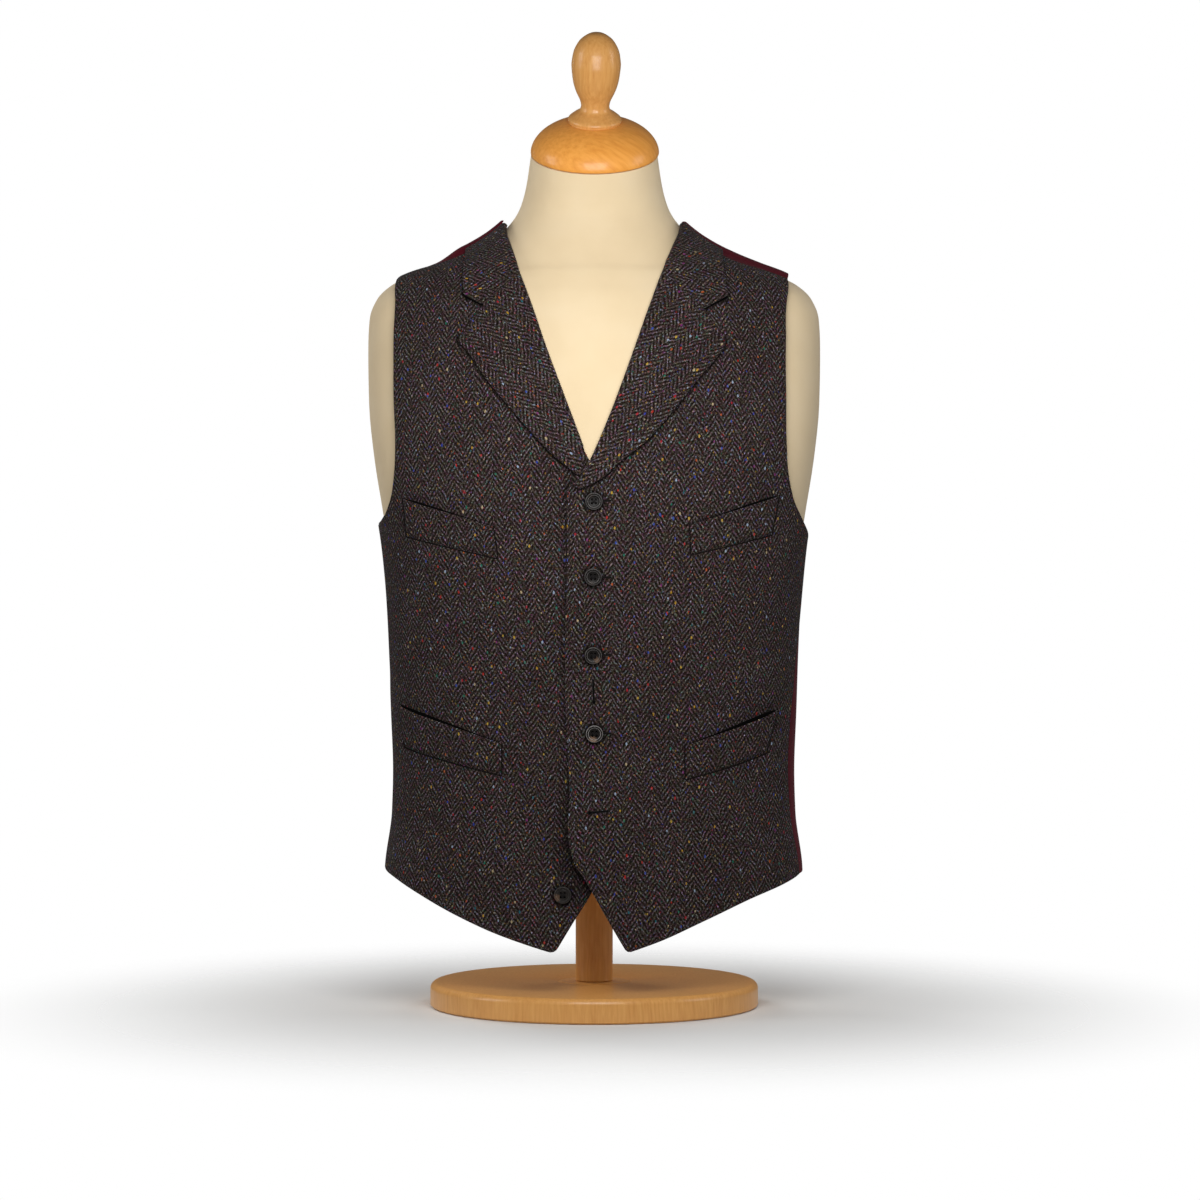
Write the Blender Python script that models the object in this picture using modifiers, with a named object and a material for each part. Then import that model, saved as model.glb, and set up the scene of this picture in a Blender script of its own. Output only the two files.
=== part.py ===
"""A single-breasted suit waistcoat on a limbless dress form.

Metres, +Z up, +X the viewer's right, the fronts face -Y. The origin is the centre of the
underside of the wooden base. Left and right in the names are the wearer's own: the
wearer's left front is on +X and lies on top where the fronts overlap.

The cloth follows one skin, a stack of level rings, and every piece of cloth is a patch
of that skin between four outlines, moved out or in and given its thickness.
"""
import math

import bmesh
import bpy
import numpy as np
from mathutils import Vector

# ---------------------------------------------------------------- driving dimensions
TWEED = 0.0022            # front cloth with its canvas
FACING = 0.0018           # lapels, collar and pocket welts
SATIN = 0.0012            # back cloth
SEAM_GAP = 0.0006         # between two pieces along a seam
GORGE_GAP = 0.0010        # height between a lapel and its collar
LAYER_GAP = 0.0008        # between a piece and the cloth it lies on
OVERLAP_LIFT = 0.00145    # each front leaves the skin by this much in the overlap
HEM_LIFT = 0.0032         # the unfastened end of the top front stands out by this more
OVERLAP_REACH = 0.024     # half the width where the fronts lie on each other
LIFT_FADES = 0.085        # distance from the middle where that lift has gone
HEM_LIFT_STARTS = 0.238   # height where the unfastened end begins
HEM_LIFT_FULL = 0.203

FORM_REST = 0.0016        # the cloth rests this close to the form on the shoulders
FORM_CLEAR = 0.0040       # and hangs this clear of it below
FORM_CLEAR_TO = 0.600     # height below which it hangs clear
FORM_REST_FULL = 0.640    # and from which it rests
FORM_RIDGE_AHEAD = 0.012  # the cloth rests round a line this far before the rings' middle
FORM_RIDGE = 0.030        # up to this far from that line
FORM_RIDGE_END = 0.060    # and hangs clear again beyond this
FORM_REST_FROM = 0.108    # distance from the middle where the cloth rests on the ridge
FORM_NECK_CLEAR = 0.090   # and where it hangs clear of the neck
FORM_BOTTOM = 0.146       # underside of the torso, hidden above the hem
FORM_BOTTOM_ROUND = 0.010
FORM_SIDES = 40
FORM_CROWDING = 0.22      # how much the form's sides crowd together at its arm ends
FORM_BODY_RINGS = 9
FORM_SHOULDER_RINGS = 17
FORM_NECK_FROM = 0.706    # the neck has its own rings above this height

NECK_TILT = 25.5          # degrees, how far the cut of the neck leans forward
NECK_TOP = (0.0006, -0.0165, 0.7767)
CAP_RADIUS = 0.0585
CAP_RIM = 0.0022          # height of the cap's widest ring
CAP_DOME = 0.0305         # height that the dome would reach above that ring
CAP_ROUND = 2.4           # how full its sides are, 2 being an ellipse
CAP_CROWN = 1.8           # and its top
CAP_SEAT = 0.0304         # height of the flat turned on it for the finial
CAP_SEAT_RADIUS = 0.0248
CAP_CHAMFER = 0.0022      # at its foot
FINIAL_FOOT = 0.0313      # above the cap's foot, along its axis
FINIAL_LEAN = 1.5         # degrees, towards the wearer's left

BASE_RADIUS = 0.150
BASE_THICK = 0.022
BASE_ROUND = 0.006        # round its upper edge
BASE_CHAMFER = 0.0015     # at its lower edge
POLE_RADIUS = 0.017
TOUCH = 0.0003            # between two hard pieces that stand on each other
BUTTON_GAP = 0.0005       # under a button

SEAM_ROWS = 11            # rows of a net along a side seam
RELAX_ROUNDS = 30         # how often a net of cloth is evened out
SKIN_STEPS = 12           # how often a point is moved towards the skin
HALVINGS = 40             # how often a height is halved in on
SLOPE_STEP = 0.00001      # how far apart the skin is tested for its slope

# One row for each ring of the skin:
# height, half width, depth to the front, depth to the back, centre in Y, squareness
SKIN = (
    (0.040, 0.1910, 0.1200, 0.1170, 0.000, 2.35),
    (0.123, 0.1905, 0.1200, 0.1170, 0.000, 2.35),
    (0.178, 0.1840, 0.1160, 0.1080, 0.000, 2.30),
    (0.215, 0.1830, 0.1140, 0.1040, 0.000, 2.30),
    (0.272, 0.1850, 0.1160, 0.1050, 0.000, 2.30),
    (0.321, 0.1865, 0.1200, 0.1090, 0.000, 2.35),
    (0.372, 0.1890, 0.1250, 0.1150, 0.000, 2.40),
    (0.416, 0.1930, 0.1280, 0.1200, 0.000, 2.45),
    (0.450, 0.1980, 0.1290, 0.1230, 0.000, 2.45),
    (0.500, 0.2060, 0.1280, 0.1260, 0.000, 2.45),
    (0.550, 0.2110, 0.1225, 0.1250, 0.001, 2.40),
    (0.600, 0.2120, 0.1125, 0.1190, 0.003, 2.30),
    (0.628, 0.2090, 0.1045, 0.1110, 0.004, 2.20),
    (0.648, 0.2010, 0.0975, 0.1030, 0.005, 2.15),
    (0.660, 0.1890, 0.0925, 0.0970, 0.006, 2.10),
    (0.668, 0.1740, 0.0885, 0.0920, 0.006, 2.05),
    (0.676, 0.1530, 0.0845, 0.0870, 0.007, 2.00),
    (0.684, 0.1330, 0.0808, 0.0820, 0.007, 2.00),
    (0.694, 0.1120, 0.0770, 0.0770, 0.007, 2.00),
    (0.706, 0.0930, 0.0735, 0.0725, 0.007, 2.00),
    (0.720, 0.0775, 0.0712, 0.0680, 0.006, 2.00),
    (0.735, 0.0685, 0.0700, 0.0630, 0.003, 2.00),
)

# The form's neck, one row for each ring:
# height, half width, half depth, centre in Y, lean in degrees
NECK = (
    (0.7160, 0.0765, 0.0650, 0.0055, 1.0),
    (0.7270, 0.0692, 0.0630, 0.0030, 4.0),
    (0.7390, 0.0647, 0.0606, -0.0012, 9.0),
    (0.7510, 0.0617, 0.0580, -0.0062, 14.0),
    (0.7640, 0.0595, 0.0550, -0.0112, 20.0),
    (0.7767, 0.0575, 0.0519, -0.0165, 25.5),
)

# Outlines as seen from the front, one row for each point: x, height
LEFT_FRONT_EDGE = (
    (0.0290, 0.0595), (0.0160, 0.0818), (-0.0010, 0.1120), (-0.0099, 0.1269),
    (-0.0157, 0.1349), (-0.0199, 0.1457), (-0.0217, 0.2037), (-0.0256, 0.2903),
    (-0.0238, 0.4207), (-0.0242, 0.4655),
)
LEFT_NECKLINE = (
    (-0.0242, 0.4655), (-0.0154, 0.4761), (-0.0084, 0.4840), (-0.0031, 0.4945),
    (0.0101, 0.5246), (0.0251, 0.5637), (0.0384, 0.6015), (0.0492, 0.6325),
    (0.0610, 0.6640),
)
RIGHT_FRONT_EDGE = (
    (-0.0350, 0.0583), (-0.0181, 0.0864), (-0.0021, 0.1123), (0.0080, 0.1350),
    (0.0165, 0.1600), (0.0200, 0.2000), (0.0200, 0.4640),
)
RIGHT_NECKLINE = (
    (0.0200, 0.4640), (0.0080, 0.4780), (-0.0035, 0.4928), (-0.0163, 0.5254),
    (-0.0307, 0.5638), (-0.0447, 0.6021), (-0.0547, 0.6319), (-0.0670, 0.6640),
)
LEFT_HEM = (
    (0.0290, 0.0595), (0.0616, 0.0708), (0.0999, 0.0875), (0.1386, 0.1044),
    (0.1708, 0.1159),
)
RIGHT_HEM = (
    (-0.0350, 0.0583), (-0.0606, 0.0663), (-0.0911, 0.0771), (-0.1221, 0.0906),
    (-0.1617, 0.1106), (-0.1770, 0.1190),
)
LEFT_ARMHOLE = (
    (0.1867, 0.4439), (0.1794, 0.4580), (0.1751, 0.4737), (0.1715, 0.5133),
    (0.1713, 0.5491), (0.1718, 0.6035), (0.1728, 0.6350),
)
RIGHT_ARMHOLE = (
    (-0.1876, 0.4472), (-0.1830, 0.4581), (-0.1782, 0.4881), (-0.1774, 0.5135),
    (-0.1790, 0.5495), (-0.1798, 0.6132), (-0.1792, 0.6380),
)
# The back's armholes, seen from behind, on the left half: distance from the middle, height
BACK_ARMHOLE = (
    (0.1850, 0.4450), (0.1740, 0.4650), (0.1660, 0.5000), (0.1640, 0.5500),
    (0.1670, 0.6000), (0.1705, 0.6300),
)
# and over the top of the shoulder, seen from above: distance from the middle, y
BACK_ARMHOLE_TOP = ((0.1735, 0.0500), (0.1755, 0.0100))

# The side seams, one row for each level: height, angle from the middle of the front
LEFT_SIDE_SEAM = ((0.1225, 78.5), (0.250, 76.5), (0.330, 80.5), (0.400, 87.0), (0.4256, 90.0))
RIGHT_SIDE_SEAM = ((0.1280, -90.0), (0.250, -90.5), (0.330, -90.5), (0.400, -90.0), (0.4379, -90.0))

# The shoulder seams, seen from above, from the neck outwards: x, y
LEFT_SHOULDER = ((0.0786, -0.0180), (0.1000, -0.0320), (0.1300, -0.0385), (0.1755, -0.0280))
RIGHT_SHOULDER = ((-0.0800, -0.0140), (-0.1000, -0.0270), (-0.1300, -0.0300), (-0.1770, -0.0080))
COLLAR_WIDTH = 0.1155     # distance from the middle of the collar's outer end on the shoulder
COLLAR_TOP = 0.012        # how far that end lies before the neck end

# The back's neckline, one row for each point: angle from the middle of the front, height
BACK_NECKLINE = ((180.0, 0.6990), (155.0, 0.7010), (130.0, 0.7060), (100.0, 0.7115))
# and its hem
BACK_HEM = ((180.0, 0.1290), (150.0, 0.1285), (120.0, 0.1265))

# Lapels and collar, seen from the front: x, height
LEFT_LAPEL_ROLL = (
    (-0.0192, 0.4712), (-0.0154, 0.4761), (-0.0084, 0.4840), (-0.0031, 0.4945),
    (0.0101, 0.5246), (0.0251, 0.5637), (0.0384, 0.6015), (0.0492, 0.6325),
    (0.0598, 0.6610),
)
LEFT_LAPEL_EDGE = (
    (-0.0118, 0.4676), (0.0075, 0.4773), (0.0233, 0.4919), (0.0459, 0.5098),
    (0.0585, 0.5233), (0.0763, 0.5452), (0.0941, 0.5678), (0.1117, 0.5897),
    (0.1165, 0.5985),
)
LEFT_GORGE = ((0.0598, 0.6610), (0.0970, 0.6285))
LEFT_COLLAR_END = ((0.0982, 0.6290), (0.1184, 0.6403))
LEFT_COLLAR_EDGE = ((0.1184, 0.6403), (0.1158, 0.6550), (0.1150, 0.6665))
RIGHT_LAPEL_ROLL = (
    (-0.0128, 0.4800), (-0.0098, 0.4870), (-0.0055, 0.4965), (-0.0163, 0.5254),
    (-0.0307, 0.5638), (-0.0447, 0.6021), (-0.0547, 0.6319), (-0.0657, 0.6610),
)
RIGHT_LAPEL_EDGE = (
    (-0.0165, 0.4815), (-0.0374, 0.4990), (-0.0559, 0.5185), (-0.0809, 0.5479),
    (-0.0951, 0.5655), (-0.1105, 0.5888), (-0.1205, 0.5999),
)
RIGHT_GORGE = ((-0.0657, 0.6610), (-0.0972, 0.6325))
RIGHT_COLLAR_END = ((-0.0984, 0.6320), (-0.1149, 0.6409))
RIGHT_COLLAR_EDGE = ((-0.1149, 0.6409), (-0.1164, 0.6560), (-0.1155, 0.6700))

# Pocket welts, one row each: name, then x and height of the corners in the order
# inner foot, outer foot, outer top, inner top
WELTS = (
    ("welt_chest_left", (0.0850, 0.4105), (0.1577, 0.4288), (0.1643, 0.4640), (0.0841, 0.4375)),
    ("welt_chest_right", (-0.0842, 0.4069), (-0.1669, 0.4274), (-0.1700, 0.4615), (-0.0886, 0.4358)),
    ("welt_hip_left", (0.0806, 0.2116), (0.1535, 0.2335), (0.1640, 0.2725), (0.0800, 0.2422)),
    ("welt_hip_right", (-0.0815, 0.2150), (-0.1700, 0.2385), (-0.1745, 0.2765), (-0.0814, 0.2443)),
)

# Buttons, one row each: name, x, height, the front it is sewn to or lies on
BUTTONS = (
    ("button_1", 0.0000, 0.4572, "top"),
    ("button_2", -0.0008, 0.3911, "top"),
    ("button_3", -0.0006, 0.3220, "top"),
    ("button_4", 0.0004, 0.2527, "top"),
    ("button_5", 0.0000, 0.1822, "under"),
    ("button_6", -0.0275, 0.1105, "under"),
)

# Turned profiles, one row for each point: radius, height above the piece's own foot
FINIAL_PROFILE = (
    (0.0000, 0.0824), (0.0061, 0.0815), (0.0118, 0.0781), (0.0163, 0.0735),
    (0.0204, 0.0654), (0.0221, 0.0561), (0.0222, 0.0503), (0.0208, 0.0386),
    (0.0182, 0.0293), (0.0140, 0.0200), (0.0127, 0.0145), (0.0141, 0.0106),
    (0.0183, 0.0078), (0.0225, 0.0046), (0.0240, 0.0030), (0.0245, 0.0014),
    (0.0240, 0.0000), (0.0000, 0.0000),
)
BUTTON_PROFILE = (
    (0.0000, 0.0020), (0.0048, 0.0020), (0.0058, 0.0030), (0.0070, 0.0030),
    (0.0077, 0.0022), (0.0077, 0.0010), (0.0066, 0.0000), (0.0000, 0.0000),
)

SKIN_ROWS = np.array(SKIN)
HEIGHTS = SKIN_ROWS[:, 0]


# ---------------------------------------------------------------- the skin
def smooth_slopes(heights, values):
    """Slopes that carry a smooth curve through the rows without overshooting."""
    steps = np.diff(heights)
    rises = np.diff(values) / steps
    slopes = np.zeros_like(values)
    for i in range(1, len(values) - 1):
        if rises[i - 1] * rises[i] > 0:
            before = 2 * steps[i] + steps[i - 1]
            after = steps[i] + 2 * steps[i - 1]
            slopes[i] = (before + after) / (before / rises[i - 1] + after / rises[i])
    slopes[0], slopes[-1] = rises[0], rises[-1]
    return slopes


SLOPES = np.array([smooth_slopes(HEIGHTS, SKIN_ROWS[:, k]) for k in range(1, 6)])


def ring(z):
    """Half width, front depth, back depth, centre in Y and squareness at the heights z."""
    z = np.clip(z, HEIGHTS[0], HEIGHTS[-1] - 1e-9)
    i = np.clip(np.searchsorted(HEIGHTS, z, side="right") - 1, 0, len(HEIGHTS) - 2)
    step = HEIGHTS[i + 1] - HEIGHTS[i]
    t = (z - HEIGHTS[i]) / step
    low, high = SKIN_ROWS[i, 1:6].T, SKIN_ROWS[i + 1, 1:6].T
    return ((2 * t**3 - 3 * t**2 + 1) * low + (t**3 - 2 * t**2 + t) * step * SLOPES[:, i]
            + (3 * t**2 - 2 * t**3) * high + (t**3 - t**2) * step * SLOPES[:, i + 1])


def level(points):
    """Zero on the skin, more outside it and less inside."""
    x, y, z = points.T
    width, front, back, centre, power = ring(z)
    depth = np.where(y < centre, front, back)
    return (np.abs(x / width)**power + np.abs((y - centre) / depth)**power)**(1 / power) - 1


def uphill(points):
    """The way that level() rises at each point."""
    steps = np.eye(3) * SLOPE_STEP
    return np.stack([level(points + s) - level(points - s) for s in steps], -1) / (2 * SLOPE_STEP)


def onto_skin(points, out=0.0):
    """Points moved onto the skin, then out along its normal."""
    points = np.array(points, float)
    for _ in range(SKIN_STEPS):
        slope = uphill(points)
        points = points - slope * (level(points) / np.sum(slope**2, -1))[:, None]
    slope = uphill(points)
    normals = slope / np.linalg.norm(slope, axis=-1)[:, None]
    return points + normals * np.broadcast_to(out, len(points))[:, None]


def at_angle(degrees, z):
    """Skin point at an angle from the middle of the front, seen from above."""
    width, front, back, centre, power = ring(np.array([z]))[:, 0]
    across, ahead = math.sin(math.radians(degrees)), math.cos(math.radians(degrees))
    depth = front if ahead > 0 else back
    reach = (abs(across / width)**power + abs(ahead / depth)**power)**(-1 / power)
    return (reach * across, centre - reach * ahead, z)


def seen_from_front(x, z, side=-1):
    """Skin point at x and z, on the front, or on the back where side is 1."""
    width, front, back, centre, power = ring(np.array([z]))[:, 0]
    depth = front if side < 0 else back
    across = min(abs(x / width), 1.0)
    return (x, centre + side * depth * (1 - across**power)**(1 / power), z)


def seen_from_above(x, y):
    """Skin point over x and y, on the shoulders."""
    low, high = FORM_CLEAR_TO, HEIGHTS[-1]
    for _ in range(HALVINGS):
        z = (low + high) / 2
        inside = level(np.array([(x, y, z)]))[0] < 0
        low, high = (z, high) if inside else (low, z)
    return (x, y, low)


# ---------------------------------------------------------------- outlines and patches
def spread(points, count):
    """Evenly spaced points, count steps of them, along a run of points."""
    points = np.array(points, float)
    lengths = np.r_[0, np.cumsum(np.linalg.norm(np.diff(points, axis=0), axis=1))]
    stops = np.linspace(0, lengths[-1], count + 1)
    return np.stack([np.interp(stops, lengths, points[:, k]) for k in range(3)], -1)


def joined(*runs):
    """Runs of points, each a pair of points and steps, end to end as one outline."""
    parts = [spread(points, steps) for points, steps in runs]
    return np.concatenate([parts[0]] + [part[1:] for part in parts[1:]])


def patch(inner, outer, foot, top):
    """A net of points between four outlines: rows go up and columns go outwards."""
    rows, columns = len(inner), len(foot)
    v = np.linspace(0, 1, rows)[:, None, None]
    u = np.linspace(0, 1, columns)[None, :, None]
    sides = (1 - u) * inner[:, None] + u * outer[:, None]
    ends = (1 - v) * foot[None] + v * top[None]
    corners = ((1 - u) * (1 - v) * foot[0] + u * (1 - v) * foot[-1]
               + (1 - u) * v * top[0] + u * v * top[-1])
    return sides + ends - corners


def relaxed(net):
    """A net whose inner points are evened out along the skin."""
    net = net.copy()
    for _ in range(RELAX_ROUNDS):
        middle = (net[:-2, 1:-1] + net[2:, 1:-1] + net[1:-1, :-2] + net[1:-1, 2:]) / 4
        net[1:-1, 1:-1] = onto_skin(middle.reshape(-1, 3)).reshape(middle.shape)
    return net


def fade(value, start, end):
    """1 at start, 0 at end and smooth between."""
    t = np.clip((value - end) / (start - end), 0, 1)
    return t * t * (3 - 2 * t)


def front_lift(points, layer):
    """How far a front stands off the skin: the top one outwards, the under one inwards."""
    near = fade(np.abs(points[..., 0]), OVERLAP_REACH, LIFT_FADES)
    if layer == "under":
        return -OVERLAP_LIFT * near
    loose = fade(points[..., 2], HEM_LIFT_FULL, HEM_LIFT_STARTS)
    return (OVERLAP_LIFT + HEM_LIFT * loose) * near


# ---------------------------------------------------------------- objects
def material(name, colour, roughness, metallic=0.0):
    """A Principled material for one kind of surface."""
    made = bpy.data.materials.new(name)
    made.use_nodes = True
    shader = made.node_tree.nodes["Principled BSDF"]
    shader.inputs["Base Color"].default_value = (*colour, 1.0)
    shader.inputs["Roughness"].default_value = roughness
    shader.inputs["Metallic"].default_value = metallic
    return made


def add_object(name, mesh, finish, collection):
    """An object with its own copy of a material, shaded smooth."""
    piece = bpy.data.objects.new(name, mesh)
    collection.objects.link(piece)
    mesh.materials.append(finish.copy())
    mesh.shade_smooth()
    mesh.set_sharp_from_angle(angle=math.radians(40))
    return piece


def add_cloth(name, net, out, thickness, finish, collection):
    """A piece of cloth: a grid laid on the skin and given its thickness."""
    rows, columns = net.shape[:2]
    net = relaxed(net)
    lift = out(net) if callable(out) else np.full((rows, columns), out)
    places = onto_skin(net.reshape(-1, 3), lift.reshape(-1)).reshape(rows, columns, 3)
    bm = bmesh.new()
    bmesh.ops.create_grid(bm, x_segments=columns - 1, y_segments=rows - 1, size=0.5)
    for vertex in bm.verts:
        column = round((vertex.co.x + 0.5) * (columns - 1))
        row = round((vertex.co.y + 0.5) * (rows - 1))
        vertex.co = places[row, column]
    mesh = bpy.data.meshes.new(name)
    bm.to_mesh(mesh)
    bm.free()
    piece = add_object(name, mesh, finish, collection)
    wall = piece.modifiers.new("thickness", "SOLIDIFY")
    wall.thickness = thickness
    wall.offset = 0.0
    return piece


def add_turned(name, profile, steps, finish, collection):
    """A turned piece: its profile, from the top down, screwed round its own Z axis."""
    mesh = bpy.data.meshes.new(name)
    edges = [(i, i + 1) for i in range(len(profile) - 1)]
    mesh.from_pydata([(radius, 0.0, height) for radius, height in profile], edges, [])
    piece = add_object(name, mesh, finish, collection)
    turn = piece.modifiers.new("turn", "SCREW")
    turn.steps = turn.render_steps = steps
    turn.use_merge_vertices = True
    turn.merge_threshold = 0.00005
    return piece


# ---------------------------------------------------------------- the waistcoat
def add_front(name, layer, edge, neckline, hem, armhole, side_seam, shoulder, finish, group):
    """One front, from the hem to the shoulder seam."""
    top = [seen_from_above(*place) for place in shoulder]
    seam = [at_angle(angle, z) for z, angle in side_seam]
    hem = [seen_from_front(*place) for place in hem] + [seam[0]]
    edge = [seen_from_front(*place) for place in edge]
    neckline = [seen_from_front(*place) for place in neckline] + [top[0]]
    armhole = [seam[-1]] + [seen_from_front(*place) for place in armhole] + [top[-1]]
    high_rows, columns = 14, 14
    net = patch(inner=joined((edge, SEAM_ROWS), (neckline, high_rows)),
                outer=joined((seam, SEAM_ROWS), (armhole, high_rows)),
                foot=spread(hem, columns),
                top=spread(top, columns))
    add_cloth(name, net, lambda points: front_lift(points, layer), TWEED, finish, group)


def add_back(name, side, side_seam, shoulder, finish, group):
    """Half of the back, from the centre seam to the side seam, armhole and shoulder."""
    shoulder = [np.array(seen_from_above(*place)) + (0.0, SEAM_GAP, 0.0) for place in shoulder]
    turn = side * math.degrees(SEAM_GAP / SKIN_ROWS[0, 1])
    seam = [at_angle(angle + turn, z) for z, angle in side_seam]
    shift = np.array((side * SEAM_GAP / 2, 0.0, 0.0))
    heights = np.linspace(BACK_HEM[0][1], BACK_NECKLINE[0][1], SEAM_ROWS + 1)
    centre = [np.array(at_angle(180.0, z)) + shift for z in heights]
    hem = [centre[0]] + [at_angle(side * angle, z) for angle, z in BACK_HEM[1:]] + [seam[0]]
    neckline = [centre[-1]] + [at_angle(side * angle, z) for angle, z in BACK_NECKLINE[1:]] + shoulder[:1]
    armhole = [seam[-1]] + [seen_from_front(side * x, z, 1) for x, z in BACK_ARMHOLE]
    armhole += [seen_from_above(side * x, y) for x, y in BACK_ARMHOLE_TOP] + shoulder[-1:]
    high_rows, neck_columns, shoulder_columns = 18, 8, 7
    columns = neck_columns + shoulder_columns
    net = patch(inner=spread(centre, SEAM_ROWS + high_rows),
                outer=joined((seam, SEAM_ROWS), (armhole, high_rows)),
                foot=spread(hem, columns),
                top=joined((neckline, neck_columns), (shoulder, shoulder_columns)))
    add_cloth(name, net, (SATIN - TWEED) / 2, SATIN, finish, group)


def facing_lift(layer):
    """Lift of what lies on a front: the front's own, its half wall, the gap and half a facing."""
    above = TWEED / 2 + LAYER_GAP + FACING / 2
    return lambda points: front_lift(points, layer) + above


def add_lapel(name, layer, roll, edge, gorge, finish, group):
    """A lapel, from its roll line to its outer edge, below the gorge seam."""
    roll, edge, gorge = ([seen_from_front(*place) for place in run] for run in (roll, edge, gorge))
    rows, gorge_columns, notch_columns = 13, 3, 2
    net = patch(inner=spread(roll, rows),
                outer=spread(edge, rows),
                foot=spread([roll[0], edge[0]], gorge_columns + notch_columns),
                top=joined((gorge, gorge_columns), ([gorge[-1], edge[-1]], notch_columns)))
    add_cloth(name, net, facing_lift(layer), FACING, finish, group)


def add_collar(name, layer, gorge, end, edge, shoulder, finish, group):
    """One end of the collar, from the gorge seam to the shoulder seam."""
    gorge, end, edge = ([np.array(seen_from_front(*place)) for place in run] for run in (gorge, end, edge))
    up = np.array((0.0, 0.0, GORGE_GAP))
    gorge = [place + up for place in gorge]
    end[0] = gorge[-1]
    side = math.copysign(1.0, edge[0][0])
    neck_end = np.array(seen_from_above(*shoulder[0]))
    far_end = np.array(seen_from_above(side * COLLAR_WIDTH, shoulder[0][1] - COLLAR_TOP))
    rows, gorge_columns, end_columns = 6, 3, 2
    net = patch(inner=spread([gorge[0], neck_end], rows),
                outer=spread(edge + [far_end], rows),
                foot=joined((gorge, gorge_columns), (end, end_columns)),
                top=spread([neck_end, far_end], gorge_columns + end_columns))
    add_cloth(name, net, facing_lift(layer), FACING, finish, group)


def add_welt(row, finish, group):
    """A pocket welt on its front."""
    name, *corners = row
    layer = "top" if corners[0][0] > 0 else "under"
    inner_foot, outer_foot, outer_top, inner_top = (seen_from_front(*place) for place in corners)
    net = patch(inner=spread([inner_foot, inner_top], 2),
                outer=spread([outer_foot, outer_top], 2),
                foot=spread([inner_foot, outer_foot], 7),
                top=spread([inner_top, outer_top], 7))
    add_cloth(name, net, facing_lift(layer), FACING, finish, group)


def add_button(row, finish, group):
    """A button standing on its front."""
    name, x, z, layer = row
    place = np.array([seen_from_front(x, z)])
    lift = front_lift(place, layer) + TWEED / 2 + BUTTON_GAP
    foot = onto_skin(place, lift)[0]
    button = add_turned(name, BUTTON_PROFILE, 16, finish, group)
    button.location = foot
    button.rotation_euler = Vector(uphill(place)[0]).to_track_quat("Z", "Y").to_euler()


# ---------------------------------------------------------------- the dress form
def add_form(finish, group):
    """The torso and neck, a loft of level rings inside the waistcoat's skin."""
    turns = np.linspace(0, 2 * math.pi, FORM_SIDES, endpoint=False)
    angles = np.degrees(turns + FORM_CROWDING * np.sin(2 * turns))
    rounding = [FORM_BOTTOM + part * FORM_BOTTOM_ROUND for part in (0.0, 0.3)]
    body = np.linspace(FORM_BOTTOM + FORM_BOTTOM_ROUND, FORM_CLEAR_TO, FORM_BODY_RINGS)
    shoulders = np.linspace(FORM_CLEAR_TO, FORM_NECK_FROM, FORM_SHOULDER_RINGS)
    rings = []
    for z in [*rounding, *body, *shoulders[1:]]:
        points = np.array([at_angle(angle, z) for angle in angles])
        from_ridge = np.abs(points[:, 1] - ring(z)[3] + FORM_RIDGE_AHEAD)
        beside_neck = fade(np.abs(points[:, 0]), FORM_REST_FROM, FORM_NECK_CLEAR)
        on_top = fade(z, FORM_REST_FULL, FORM_CLEAR_TO)
        ridge = fade(from_ridge, FORM_RIDGE, FORM_RIDGE_END) * beside_neck * on_top
        drop = max(0.0, 1 - (z - FORM_BOTTOM) / FORM_BOTTOM_ROUND)
        inset = TWEED / 2 + FORM_CLEAR - (FORM_CLEAR - FORM_REST) * ridge
        inset += FORM_BOTTOM_ROUND * (1 - math.sqrt(1 - drop**2))
        inward = uphill(points) * (1, 1, 0 if z < FORM_CLEAR_TO else 1)
        inward *= (inset / np.linalg.norm(inward, axis=-1))[:, None]
        rings.append(points - inward)
    for z, width, depth, centre, lean in NECK:
        across = np.sin(np.radians(angles)) * width
        ahead = -np.cos(np.radians(angles)) * depth
        rings.append(np.stack([across, centre + ahead, z + ahead * math.tan(math.radians(lean))], -1))
    bm = bmesh.new()
    loops = [[bm.verts.new(point) for point in points] for points in rings]
    for lower, upper in zip(loops, loops[1:]):
        for i in range(FORM_SIDES):
            j = (i + 1) % FORM_SIDES
            bm.faces.new((lower[i], lower[j], upper[j], upper[i]))
    bm.faces.new(loops[0][::-1])
    bm.faces.new(loops[-1])
    mesh = bpy.data.meshes.new("form_torso")
    bm.to_mesh(mesh)
    bm.free()
    add_object("form_torso", mesh, finish, group)


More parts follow.
